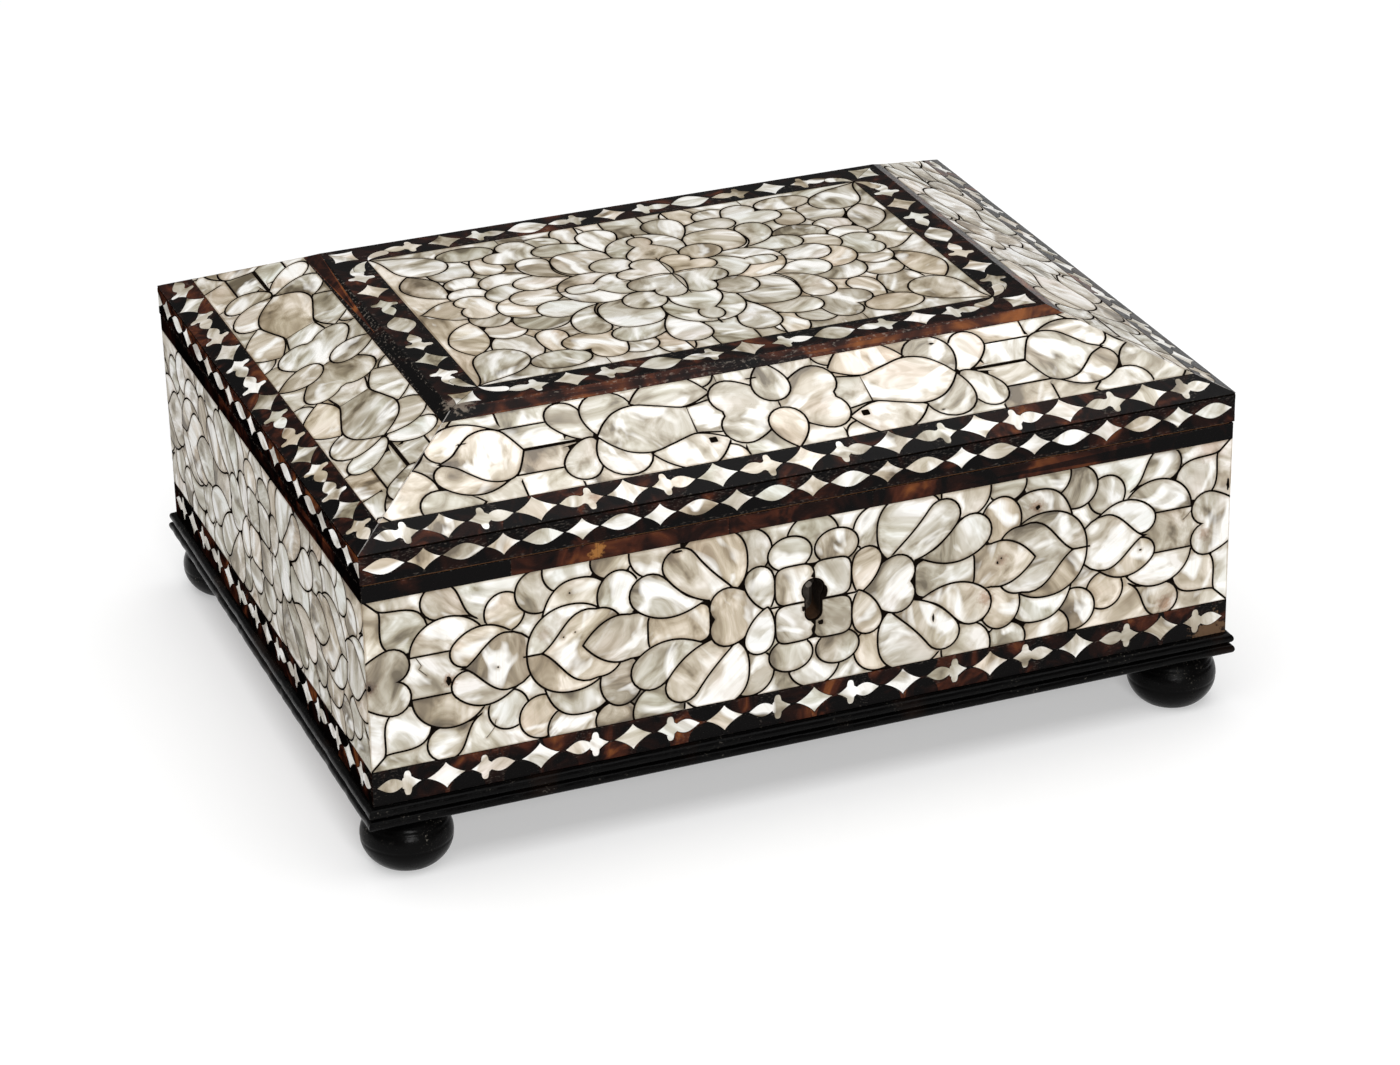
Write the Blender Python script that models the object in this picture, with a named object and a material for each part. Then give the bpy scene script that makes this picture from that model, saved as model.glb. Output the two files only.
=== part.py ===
"""A mother-of-pearl and tortoiseshell veneered casket with a hinged, coffered lid, on four bun feet.

Metres, +Z up. The floor is z = 0, the middle of the box is x = y = 0, and its front looks along -Y.
Almost every piece runs round the box as four mitred lengths, so one function, mitred_ring, makes them.
"""

import math

import bmesh
import bpy
from mathutils import Matrix, Vector

# Overall sizes
LID_WIDTH = 0.430
LID_DEPTH = 0.337
FOOT_HEIGHT = 0.0265
MOULDING_HEIGHT = 0.0113
LOWER_BAND_HEIGHT = 0.0178
WALL_FIELD_HEIGHT = 0.0846
UPPER_STRIP_HEIGHT = 0.0080
LID_RIM_HEIGHT = 0.0147
SLOPE_RISE = 0.0279
SLOPE_RUN = 0.0604
FILLET_RISE = 0.0030
FILLET_RUN = 0.0060

# Widths of the tortoiseshell borders on the lid
SLOPE_BAND_RUN = 0.0146
TOP_BORDER_WIDTH = 0.0190

# Thicknesses
WALL_THICKNESS = 0.0100
FLOOR_THICKNESS = 0.0080
LID_BOARD_THICKNESS = 0.0095
VENEER = 0.0012

# Clearances
GAP = 0.0003
SEAM = 0.0009
LID_OVERHANG = 0.0004

# Base moulding: two reeds, one above the other, with a narrow fillet under, between and over them
REED_FILLET = 0.0004
LOWER_REED_PROJECTION = 0.0036
UPPER_REED_PROJECTION = 0.0031
REED_STEPS = 8

# Bun feet: the seat is the flat round where a foot meets the base, and where it stands
FOOT_RADIUS = 0.0216
FOOT_SEAT_RADIUS = 0.0144
FOOT_INSET_X = 0.0198
FOOT_INSET_Y = 0.0168
FOOT_STEPS = 12
FOOT_SIDES = 36

# Lock and keyhole
KEYHOLE_WIDTH = 0.0106
KEYHOLE_SLOT_WIDTH = 0.0078
KEYHOLE_HEIGHT = 0.0208
KEYHOLE_RISE = 0.0483
LOCK_WIDTH = 0.0560
LOCK_DEPTH = 0.0070
LOCK_HEIGHT = 0.0680
LOCK_PIN_RADIUS = 0.0016
LOCK_PIN_RECESS = 0.0060
CATCH_LENGTH = 0.0440
CATCH_WIDTH = 0.0085
CATCH_THICKNESS = 0.0010
STAPLE_LENGTH = 0.0130
STAPLE_DROP = 0.0090
STAPLE_THICKNESS = 0.0022
STAPLE_CLEARANCE = 0.0012
ROUND_STEPS = 16

# Butt hinges
HINGE_SPACING = 0.2600
HINGE_LENGTH = 0.0360
LEAF_DEPTH = 0.0090
LEAF_THICKNESS = 0.0010
KNUCKLE_RADIUS = 0.0030
HINGE_PIN_RADIUS = 0.0012
HINGE_SIDES = 24

# Levels, from the floor up
MOULDING_TOP = FOOT_HEIGHT + MOULDING_HEIGHT
FIELD_BOTTOM = MOULDING_TOP + LOWER_BAND_HEIGHT
FIELD_TOP = FIELD_BOTTOM + WALL_FIELD_HEIGHT
CASE_TOP = FIELD_TOP + UPPER_STRIP_HEIGHT
LID_BOTTOM = CASE_TOP + SEAM
RIM_TOP = LID_BOTTOM + LID_RIM_HEIGHT
SLOPE_TOP = RIM_TOP + SLOPE_RISE
LID_TOP = SLOPE_TOP + FILLET_RISE

# Half sizes of the case and the lid, over their veneers
LID_HALF = Vector((LID_WIDTH / 2, LID_DEPTH / 2))
CASE_HALF = LID_HALF - Vector((LID_OVERHANG, LID_OVERHANG))

# What the veneers lie on is one veneer and one gap back from the outer faces
BACKING = VENEER + GAP
SLOPE = SLOPE_RISE / SLOPE_RUN
SLOPE_LENGTHENING = math.hypot(1, SLOPE)
LID_SEAT = LID_OVERHANG + BACKING + WALL_THICKNESS
TOP_BOARD_INSET = SLOPE_RUN + BACKING

# Hinge axis: behind the back face, level with the middle of the seam
HINGE_Y = LID_HALF.y + KNUCKLE_RADIUS + GAP
HINGE_Z = CASE_TOP + SEAM / 2
KEYHOLE_HEAD_Z = FIELD_BOTTOM + KEYHOLE_RISE

REED_RADIUS = (MOULDING_HEIGHT - 3 * REED_FILLET) / 4

SIDES = {"front": 0, "right": 90, "back": 180, "left": 270}


def clear_scene():
    for thing in list(bpy.data.objects):
        bpy.data.objects.remove(thing, do_unlink=True)


def make_material(name, colour, roughness, metallic=0.0):
    material = bpy.data.materials.new(name)
    material.use_nodes = True
    shader = material.node_tree.nodes["Principled BSDF"]
    shader.inputs["Base Color"].default_value = (*colour, 1.0)
    shader.inputs["Roughness"].default_value = roughness
    shader.inputs["Metallic"].default_value = metallic
    material.diffuse_color = (*colour, 1.0)
    return material


def add_object(name, mesh_data, material, parent=None):
    """One named sub-part. A parent empty keeps the piece where it is."""
    mesh = bpy.data.meshes.new(name)
    mesh_data.to_mesh(mesh)
    mesh_data.free()
    mesh.materials.append(material)
    piece = bpy.data.objects.new(name, mesh)
    bpy.context.scene.collection.objects.link(piece)
    if parent is not None:
        piece.parent = parent
        piece.matrix_parent_inverse = Matrix.Translation(parent.location).inverted()
    return piece


def prism(outline_a, outline_b):
    """A closed solid between two outlines with the same number of points."""
    solid = bmesh.new()
    ring_a = [solid.verts.new(point) for point in outline_a]
    ring_b = [solid.verts.new(point) for point in outline_b]
    solid.faces.new(ring_a)
    solid.faces.new(ring_b)
    count = len(ring_a)
    for i in range(count):
        j = (i + 1) % count
        solid.faces.new((ring_a[i], ring_a[j], ring_b[j], ring_b[i]))
    bmesh.ops.recalc_face_normals(solid, faces=solid.faces)
    return solid


def box(low, high):
    """A block between two corners."""
    (x0, y0, z0), (x1, y1, z1) = low, high
    base = [(x0, y0, z0), (x1, y0, z0), (x1, y1, z0), (x0, y1, z0)]
    return prism(base, [(x, y, z1) for x, y, z in base])


def mitred_ring(label, profile, half, material, parent=None):
    """Four mitred lengths round a rectangle of half size `half`.

    The profile holds (offset, z) points, with the offset counted outwards from the rectangle.
    """
    pull_back = GAP / math.sqrt(2)
    pieces = {}
    for side, turn in SIDES.items():
        along = half.x if side in ("front", "back") else half.y
        away = half.y if side in ("front", "back") else half.x
        ends = [
            [(sign * (along + offset - pull_back), -(away + offset), z) for offset, z in profile]
            for sign in (-1, 1)
        ]
        piece = add_object(f"{label}_{side}", prism(*ends), material, parent)
        piece.rotation_euler.z = math.radians(turn)
        pieces[side] = piece
    return pieces


def slab_profile(outer, inner, low, high):
    """A rectangular section between two offsets and two levels."""
    return [(outer, low), (inner, low), (inner, high), (outer, high)]


def slope_point(run, depth):
    """A point of the lid's section, `run` in from the rim's face and `depth` under the slope."""
    return (-run, RIM_TOP + SLOPE * run - depth * SLOPE_LENGTHENING)


def slope_profile(start, end, thickness):
    """A section lying on the slope between two runs, with its ends cut upright."""
    return [
        slope_point(start, thickness),
        slope_point(end, thickness),
        slope_point(end, 0),
        slope_point(start, 0),
    ]


def cut(piece, cutter):
    """Takes the cutter out of the piece with a Boolean, and leaves the cutter as a guide."""
    cutter.hide_render = True
    cutter.display_type = "WIRE"
    modifier = piece.modifiers.new(cutter.name, "BOOLEAN")
    modifier.operation = "DIFFERENCE"
    modifier.object = cutter


def join(piece, addition):
    """Unites a guide shape with the piece, so that both are one solid."""
    addition.hide_render = True
    addition.display_type = "WIRE"
    modifier = piece.modifiers.new(addition.name, "BOOLEAN")
    modifier.operation = "UNION"
    modifier.object = addition


def rod(centre, radius, start, end, axis, sides):
    """A round bar along axis "x" or "y" between two positions on it."""
    angles = [2 * math.pi * i / sides for i in range(sides)]
    rings = []
    for position in (start, end):
        ring = []
        for angle in angles:
            first, second = radius * math.cos(angle), radius * math.sin(angle)
            if axis == "x":
                ring.append((position, centre[0] + first, centre[1] + second))
            else:
                ring.append((centre[0] + first, position, centre[1] + second))
        rings.append(ring)
    return prism(*rings)


def reed(projection, low):
    """The half round of one reed, from its lowest point, at the level `low`, to its highest."""
    angles = [-math.pi / 2 + math.pi * i / REED_STEPS for i in range(REED_STEPS + 1)]
    centre_offset = projection - REED_RADIUS
    centre_z = low + REED_RADIUS
    return [
        (centre_offset + REED_RADIUS * math.cos(angle), centre_z + REED_RADIUS * math.sin(angle))
        for angle in angles
    ]


def base_moulding_profile():
    """The section of the base moulding, with a flat back against the wall."""
    inner = -VENEER
    lower = reed(LOWER_REED_PROJECTION, FOOT_HEIGHT + REED_FILLET)
    upper = reed(UPPER_REED_PROJECTION, MOULDING_TOP - REED_FILLET - 2 * REED_RADIUS)
    foot = [(inner, FOOT_HEIGHT), (lower[0][0], FOOT_HEIGHT)]
    head = [(upper[-1][0], MOULDING_TOP), (inner, MOULDING_TOP)]
    return foot + lower + upper + head


def keyhole_outline(grow=0.0):
    """Round head over a slot with a rounded foot, as (x, z) points, larger by `grow` all round."""
    head = KEYHOLE_WIDTH / 2 + grow
    slot = KEYHOLE_SLOT_WIDTH / 2 + grow
    foot_z = KEYHOLE_HEAD_Z + KEYHOLE_WIDTH / 2 - KEYHOLE_HEIGHT + KEYHOLE_SLOT_WIDTH / 2
    shoulder = math.asin(min(1.0, slot / head))
    points = []
    for i in range(ROUND_STEPS + 1):
        angle = -math.pi / 2 + shoulder + (2 * math.pi - 2 * shoulder) * i / ROUND_STEPS
        points.append((head * math.cos(angle), KEYHOLE_HEAD_Z + head * math.sin(angle)))
    for i in range(ROUND_STEPS // 2 + 1):
        angle = math.pi + math.pi * i / (ROUND_STEPS // 2)
        points.append((slot * math.cos(angle), foot_z + slot * math.sin(angle)))
    return points


def keyhole_cutter():
    front = -CASE_HALF.y - WALL_THICKNESS
    back = -CASE_HALF.y + BACKING + 2 * WALL_THICKNESS
    outline = keyhole_outline()
    shape = prism([(x, front, z) for x, z in outline], [(x, back, z) for x, z in outline])
    return add_object("keyhole_cutter", shape, IRON)


def build_case():
    wall_profile = slab_profile(-BACKING, -BACKING - WALL_THICKNESS, FOOT_HEIGHT, CASE_TOP)
    walls = mitred_ring("case_wall", wall_profile, CASE_HALF, CEDAR)
    inside = CASE_HALF - Vector((1, 1)) * (BACKING + WALL_THICKNESS + GAP)
    floor_top = FOOT_HEIGHT + FLOOR_THICKNESS
    floor = box((-inside.x, -inside.y, FOOT_HEIGHT), (inside.x, inside.y, floor_top))
    add_object("case_floor", floor, CEDAR)
    mitred_ring("base_moulding", base_moulding_profile(), CASE_HALF, EBONY)
    band_profile = slab_profile(0, -VENEER, MOULDING_TOP + GAP, FIELD_BOTTOM - GAP)
    mitred_ring("case_lower_band", band_profile, CASE_HALF, TORTOISESHELL)
    fields = mitred_ring(
        "case_pearl_field",
        slab_profile(0, -VENEER, FIELD_BOTTOM, FIELD_TOP - GAP),
        CASE_HALF,
        PEARL,
    )
    strip_profile = slab_profile(0, -VENEER, FIELD_TOP, CASE_TOP)
    strips = mitred_ring("case_upper_strip", strip_profile, CASE_HALF, TORTOISESHELL)
    keyhole = keyhole_cutter()
    cut(walls["front"], keyhole)
    cut(fields["front"], keyhole)
    return walls, strips


def build_feet():
    """Turned buns: a squashed ball cut flat where it stands and where it meets the base."""
    half_height = (FOOT_HEIGHT - GAP) / 2
    reach = math.acos(FOOT_SEAT_RADIUS / FOOT_RADIUS)
    half_span = half_height / math.sin(reach)
    profile = []
    for i in range(FOOT_STEPS + 1):
        angle = reach - 2 * reach * i / FOOT_STEPS
        height = half_height + half_span * math.sin(angle)
        profile.append((FOOT_RADIUS * math.cos(angle), height))
    places = [(x, y) for y in (-1, 1) for x in (-1, 1)]
    for (sign_x, sign_y), label in zip(places, ("front_left", "front_right", "back_left", "back_right")):
        foot = bmesh.new()
        rings = []
        for radius, z in profile:
            ring = []
            for i in range(FOOT_SIDES):
                angle = 2 * math.pi * i / FOOT_SIDES
                ring.append(foot.verts.new((radius * math.cos(angle), radius * math.sin(angle), z)))
            rings.append(ring)
        for upper, lower in zip(rings, rings[1:]):
            for i in range(FOOT_SIDES):
                j = (i + 1) % FOOT_SIDES
                foot.faces.new((upper[i], lower[i], lower[j], upper[j]))
        foot.faces.new(rings[0])
        foot.faces.new(rings[-1])
        bmesh.ops.recalc_face_normals(foot, faces=foot.faces)
        piece = add_object(f"bun_foot_{label}", foot, EBONY)
        piece.location.x = sign_x * (CASE_HALF.x - FOOT_INSET_X)
        piece.location.y = sign_y * (CASE_HALF.y - FOOT_INSET_Y)
        piece.data.shade_smooth()
        piece.data.set_sharp_from_angle(angle=math.radians(40))


def build_lid(pivot):
    inner_end = TOP_BOARD_INSET - GAP
    under = slope_point(inner_end, BACKING + LID_BOARD_THICKNESS)
    rail_profile = [
        (-BACKING, LID_BOTTOM),
        (-LID_SEAT, LID_BOTTOM),
        under,
        slope_point(inner_end, BACKING),
        slope_point(BACKING, BACKING),
    ]
    rails = mitred_ring("lid_rail", rail_profile, LID_HALF, CEDAR, pivot)
    board_half = LID_HALF - Vector((1, 1)) * TOP_BOARD_INSET
    board_top = LID_TOP - BACKING
    corner_signs = [(1, 1), (1, -1), (-1, -1), (-1, 1)]
    board = bmesh.new()
    levels = [(0, under[1]), (0, board_top - FILLET_RISE), (FILLET_RUN, board_top)]
    rings = []
    for shrink, z in levels:
        x, y = board_half.x - shrink, board_half.y - shrink
        rings.append([board.verts.new((sign_x * x, sign_y * y, z)) for sign_x, sign_y in corner_signs])
    for low_ring, high_ring in zip(rings, rings[1:]):
        for i in range(4):
            j = (i + 1) % 4
            board.faces.new((low_ring[i], low_ring[j], high_ring[j], high_ring[i]))
    board.faces.new(rings[0])
    board.faces.new(rings[-1])
    bmesh.ops.recalc_face_normals(board, faces=board.faces)
    add_object("lid_top_board", board, CEDAR, pivot)
    return rails


def build_lid_veneers(pivot):
    rim_profile = [
        (0, LID_BOTTOM),
        (-VENEER, LID_BOTTOM),
        slope_point(VENEER, BACKING),
        slope_point(0, BACKING),
    ]
    rims = mitred_ring("lid_rim_band", rim_profile, LID_HALF, TORTOISESHELL, pivot)
    band_profile = slope_profile(0, SLOPE_BAND_RUN - GAP, VENEER)
    mitred_ring("lid_slope_band", band_profile, LID_HALF, TORTOISESHELL, pivot)
    field_profile = slope_profile(SLOPE_BAND_RUN, SLOPE_RUN - GAP, VENEER)
    mitred_ring("lid_pearl_slope", field_profile, LID_HALF, PEARL, pivot)
    fillet_end = SLOPE_RUN + FILLET_RUN
    fillet_profile = [
        (-SLOPE_RUN, SLOPE_TOP - VENEER),
        (-fillet_end, LID_TOP - VENEER),
        (-fillet_end, LID_TOP),
        (-SLOPE_RUN, SLOPE_TOP),
    ]
    mitred_ring("lid_fillet", fillet_profile, LID_HALF, TORTOISESHELL, pivot)
    border_end = fillet_end + TOP_BORDER_WIDTH
    border_profile = slab_profile(-fillet_end - GAP, -border_end, LID_TOP - VENEER, LID_TOP)
    mitred_ring("lid_top_border", border_profile, LID_HALF, TORTOISESHELL, pivot)
    field = LID_HALF - Vector((1, 1)) * (border_end + GAP)
    slab = box((-field.x, -field.y, LID_TOP - VENEER), (field.x, field.y, LID_TOP))
    add_object("lid_pearl_top", slab, PEARL, pivot)
    return rims


def hinge_rod(radius, start, end):
    """A round bar on the hinge axis between two places across the box."""
    return rod((HINGE_Y, HINGE_Z), radius, start, end, "x", HINGE_SIDES)


def leaf_with_knuckles(name, centre_x, low, high, knuckles, parent=None):
    """A hinge leaf between two levels, with the knuckles at the given stretches of its length."""
    front = HINGE_Y - KNUCKLE_RADIUS - LEAF_DEPTH
    back = HINGE_Y - KNUCKLE_RADIUS - GAP
    left, right = centre_x - HINGE_LENGTH / 2, centre_x + HINGE_LENGTH / 2
    leaf = add_object(name, box((left, front, low), (right, back, high)), IRON, parent)
    for number, (start, end) in enumerate(knuckles):
        reach = box((centre_x + start, back - GAP, low), (centre_x + end, HINGE_Y, high))
        join(leaf, add_object(f"{name}_tongue_{number}", reach, IRON, parent))
        barrel = hinge_rod(KNUCKLE_RADIUS, centre_x + start, centre_x + end)
        join(leaf, add_object(f"{name}_barrel_{number}", barrel, IRON, parent))
    bore = hinge_rod(HINGE_PIN_RADIUS + GAP, left - GAP, right + GAP)
    cut(leaf, add_object(f"{name}_bore", bore, IRON, parent))
    return leaf


def leaf_recess(name, centre_x, low, high, parent=None):
    """The housing that a leaf is let into, a little larger than the leaf."""
    half = HINGE_LENGTH / 2 + GAP
    front = HINGE_Y - KNUCKLE_RADIUS - LEAF_DEPTH - GAP
    housing = box((centre_x - half, front, low), (centre_x + half, HINGE_Y, high))
    return add_object(name, housing, IRON, parent)


def build_hinges(pivot, walls, strips, rails, rims):
    half = HINGE_LENGTH / 2
    knuckle_end = HINGE_LENGTH / 6
    outer = [(-half, -knuckle_end - GAP / 2), (knuckle_end + GAP / 2, half)]
    middle = [(-knuckle_end + GAP / 2, knuckle_end - GAP / 2)]
    leaf_low, leaf_high = CASE_TOP - LEAF_THICKNESS, LID_BOTTOM + LEAF_THICKNESS
    for label, sign in (("left", -1), ("right", 1)):
        x = sign * HINGE_SPACING / 2
        leaf_with_knuckles(f"hinge_{label}_case_leaf", x, leaf_low, CASE_TOP, outer)
        leaf_with_knuckles(f"hinge_{label}_lid_leaf", x, LID_BOTTOM, leaf_high, middle, pivot)
        pin = hinge_rod(HINGE_PIN_RADIUS, x - half, x + half)
        add_object(f"hinge_{label}_pin", pin, IRON)
        case_recess = leaf_recess(f"hinge_{label}_case_recess", x, leaf_low - GAP, HINGE_Z)
        cut(walls["back"], case_recess)
        cut(strips["back"], case_recess)
        lid_recess = leaf_recess(f"hinge_{label}_lid_recess", x, HINGE_Z, leaf_high + GAP, pivot)
        cut(rails["back"], lid_recess)
        cut(rims["back"], lid_recess)


def build_lock(pivot, rails):
    """A box lock on the inside of the front wall, its drill pin, and the catch plate under the lid."""
    wall_inside = -CASE_HALF.y + BACKING + WALL_THICKNESS
    front = wall_inside + GAP
    back = front + LOCK_DEPTH
    lock_top = CASE_TOP - SEAM
    half = LOCK_WIDTH / 2
    lock = add_object(
        "lock_case", box((-half, front, lock_top - LOCK_HEIGHT), (half, back, lock_top)), IRON
    )
    outline = keyhole_outline(GAP)
    middle = front + LOCK_DEPTH / 2
    shape = prism([(x, front - GAP, z) for x, z in outline], [(x, middle, z) for x, z in outline])
    cut(lock, add_object("lock_key_recess", shape, IRON))
    pin_tip = -CASE_HALF.y + LOCK_PIN_RECESS
    pin_root = middle + GAP
    pin = rod((0, KEYHOLE_HEAD_Z), LOCK_PIN_RADIUS, pin_tip, pin_root, "y", ROUND_STEPS)
    join(lock, add_object("lock_drill_pin", pin, IRON))
    staple_y = front + LOCK_DEPTH / 2
    slot_x = STAPLE_LENGTH / 2 + STAPLE_CLEARANCE
    slot_y = STAPLE_THICKNESS / 2 + STAPLE_CLEARANCE
    slot_low = lock_top - STAPLE_DROP - STAPLE_CLEARANCE
    slot = box((-slot_x, staple_y - slot_y, slot_low), (slot_x, staple_y + slot_y, lock_top + SEAM))
    cut(lock, add_object("lock_staple_slot", slot, IRON))

    plate_front = -LID_HALF.y + LID_SEAT - CATCH_WIDTH
    plate_back = staple_y + CATCH_WIDTH / 2
    low, high = LID_BOTTOM, LID_BOTTOM + CATCH_THICKNESS
    half = CATCH_LENGTH / 2
    plate_block = box((-half, plate_front, low), (half, plate_back, high))
    plate = add_object("lock_catch", plate_block, IRON, pivot)
    staple_half = STAPLE_LENGTH / 2
    staple_low = lock_top - STAPLE_DROP
    thickness = STAPLE_THICKNESS / 2
    loop = box(
        (-staple_half, staple_y - thickness, staple_low),
        (staple_half, staple_y + thickness, low + CATCH_THICKNESS / 2),
    )
    join(plate, add_object("lock_catch_staple", loop, IRON, pivot))
    eye_half = staple_half - STAPLE_THICKNESS
    eye_low, eye_high = staple_low + STAPLE_THICKNESS, low - STAPLE_THICKNESS / 2
    eye_front, eye_back = staple_y - CATCH_WIDTH / 2, staple_y + CATCH_WIDTH / 2
    eye = box((-eye_half, eye_front, eye_low), (eye_half, eye_back, eye_high))
    cut(plate, add_object("lock_catch_eye", eye, IRON, pivot))
    recess = box((-half - GAP, plate_front - GAP, low - GAP), (half + GAP, plate_back + GAP, high + GAP))
    cut(rails["front"], add_object("lock_catch_recess", recess, IRON, pivot))


def make_pivot():
    """The empty on the hinge axis that carries the lid."""
    pivot = bpy.data.objects.new("lid_pivot", None)
    pivot.location = (0, HINGE_Y, HINGE_Z)
    bpy.context.scene.collection.objects.link(pivot)
    return pivot


clear_scene()
CEDAR = make_material("cedar", (0.30, 0.15, 0.07), 0.60)
EBONY = make_material("ebonised_wood", (0.012, 0.011, 0.011), 0.30)
PEARL = make_material("mother_of_pearl", (0.80, 0.77, 0.70), 0.22)
TORTOISESHELL = make_material("tortoiseshell", (0.055, 0.018, 0.010), 0.18)
IRON = make_material("iron", (0.10, 0.09, 0.085), 0.50, 0.9)

lid_pivot = make_pivot()
case_walls, case_strips = build_case()
build_feet()
lid_rails = build_lid(lid_pivot)
lid_rims = build_lid_veneers(lid_pivot)
build_hinges(lid_pivot, case_walls, case_strips, lid_rails, lid_rims)
build_lock(lid_pivot, lid_rails)
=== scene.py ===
"""The looks of a mother-of-pearl and tortoiseshell casket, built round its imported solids.

Every veneered face is a mosaic: a flat panel with its own (s, t) places in millimetres, on which a list of
shapes is laid from the lowest to the highest. The visible part of each shape becomes one inlaid tile.
"""

import math
import random

import bmesh
import bpy
import numpy as np
from mathutils import Matrix, Vector, kdtree
from mathutils.geometry import delaunay_2d_cdt


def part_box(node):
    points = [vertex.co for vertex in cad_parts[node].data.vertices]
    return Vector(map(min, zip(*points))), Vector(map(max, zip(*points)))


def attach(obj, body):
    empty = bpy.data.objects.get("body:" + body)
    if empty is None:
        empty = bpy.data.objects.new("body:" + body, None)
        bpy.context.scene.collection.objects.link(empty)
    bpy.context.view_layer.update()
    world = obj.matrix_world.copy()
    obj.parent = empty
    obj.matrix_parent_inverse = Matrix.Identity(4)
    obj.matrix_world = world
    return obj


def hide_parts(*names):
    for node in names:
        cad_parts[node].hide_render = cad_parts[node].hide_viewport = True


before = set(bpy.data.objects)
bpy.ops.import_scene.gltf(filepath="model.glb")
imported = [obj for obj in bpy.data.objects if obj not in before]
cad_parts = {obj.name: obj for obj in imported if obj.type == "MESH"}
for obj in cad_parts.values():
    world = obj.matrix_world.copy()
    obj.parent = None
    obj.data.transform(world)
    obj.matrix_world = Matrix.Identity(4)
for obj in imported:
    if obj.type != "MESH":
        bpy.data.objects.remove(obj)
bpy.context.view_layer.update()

MM = 0.001

# Mosaic work, in millimetres
LINE = 1.04
INLAY_LINE = 0.26
SEAM_LINE = 0.12
CURVE_STEP = 1.1
CAP_STEPS = 11
PEARL_GRID = 2.6
SHELL_GRID = 6.0
SMALLEST_TILE = 2.5
TILE_DEPTH = 0.55
GROUND_DROP = 0.22
RIM_DROP = 0.10
RIM_WIDTH = 0.9
FLAT_RIM_SHARE = 0.3
TILE_TILT = 0.009
TILE_SINK = 0.04
MOST_SINK = 0.09
EDGE_SHADE = 1.1
INLAY_EDGE_SHADE = 0.4
VENEER_DEPTH = 1.2

# Largest shift in millimetres and turn in degrees of a tile laid by hand
HAND_SHIFT = 0.25
HAND_TURN = 1.2

# Meshing of the panels: clearances as shares of the grid, weld distance and smallest triangle
RIM_CLEARANCE = 0.3
POINT_CLEARANCE = 0.38
WELD = 0.002
SMALLEST_TRIANGLE = 1e-5

# Cosine that limits how far a sharp corner of a grown outline reaches
SHARPEST_CORNER = 0.45

# Labels of triangles on no tile: on the ground between the tiles, or in a line
GROUND = -1
IN_LINE = -2

# Middles of the patterns on their panels in millimetres, and the share that the top's back half keeps
WALL_MIDDLE = 98.4
SLOPE_MIDDLE = 42.4
LOWER_BAND_MIDDLE = 47.0
RIM_BAND_MIDDLE = 156.6
SLOPE_BAND_MIDDLE = 8.2
BORDER_MIDDLE = 9.5
TOP_CENTRE = (0.5, 6.5)
TOP_SQUEEZE = 0.855

# Random seeds: the first of each kind of piece, with one more for every side
WALL_SEED, SLOPE_SEED, TOP_SEED = 11, 21, 31
LOWER_BAND_SEED, RIM_BAND_SEED, SLOPE_BAND_SEED, BORDER_SEED = 41, 51, 61, 71
UPPER_STRIP_SEED, FILLET_SEED = 81, 91
MOULDING_SEED = 3
WEAR_SEED = 5

# Keyhole on the front, in millimetres
KEYHOLE_Z = 103.9
KEYHOLE_HEAD = 5.3
KEYHOLE_SLOT = 3.9
KEYHOLE_HEIGHT = 20.8
KEYHOLE_WEAR = 0.7

# Feet and base moulding: counts, shares of a radius, angles of tool lines, and sizes in metres
FOOT_SEAT = 2 / 3
FOOT_RINGS = 56
FOOT_SIDES = 72
TOOL_LINES = (0.52, 0.40, -0.06)
TOOL_LINE_WIDTH = 0.035
TOOL_LINE_DEPTH = 0.00022
REED_STEPS = 14
REED_FILLET = 0.0004
REED_SETBACK = 0.0005
MOULDING_STEP = 0.0025
MOULDING_DENTS = 34
DEEPEST_WEAR = 0.0006

# Edges of meshes sharper than this stay sharp
SMOOTH_ANGLE = math.radians(40)

# The solids' gap at a mitre, in metres, and the turn of each side in degrees
MITRE_PULL = 0.0003 / math.sqrt(2)
SIDES = {"front": 0, "right": 90, "back": 180, "left": 270}
LONG_SIDES = ("front", "back")


# Shapes, as closed lists of points

def petal(head_x, head_y, radius, tail_x, tail_y, bend=0.0, point=1.3):
    """A petal from its round head to its tail.

    The spine is an arc that bows sideways by `bend` of its length. The width falls to nothing at the
    tail: `point` 0.5 ends it round, 1 in a full point and 2 in a thin one.
    """
    run_x, run_y = tail_x - head_x, tail_y - head_y
    length = math.hypot(run_x, run_y)
    bow_x, bow_y = -run_y * bend, run_x * bend
    control_x, control_y = (head_x + tail_x) / 2 + bow_x, (head_y + tail_y) / 2 + bow_y
    steps = max(8, int(length / CURVE_STEP))
    left, right = [], []
    for i in range(steps + 1):
        u = math.sin(math.pi / 2 * i / steps)
        a, b, c = (1 - u) ** 2, 2 * u * (1 - u), u * u
        x = a * head_x + b * control_x + c * tail_x
        y = a * head_y + b * control_y + c * tail_y
        dx = (1 - u) * (control_x - head_x) + u * (tail_x - control_x)
        dy = (1 - u) * (control_y - head_y) + u * (tail_y - control_y)
        half = radius * (1 - u * u) ** point / math.hypot(dx, dy)
        left.append((x - dy * half, y + dx * half))
        right.append((x + dy * half, y - dx * half))
    start = math.atan2(right[0][1] - head_y, right[0][0] - head_x)
    cap = []
    for i in range(1, CAP_STEPS):
        angle = start - math.pi * i / CAP_STEPS
        cap.append((head_x + radius * math.cos(angle), head_y + radius * math.sin(angle)))
    return left + right[-2::-1] + cap


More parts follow.
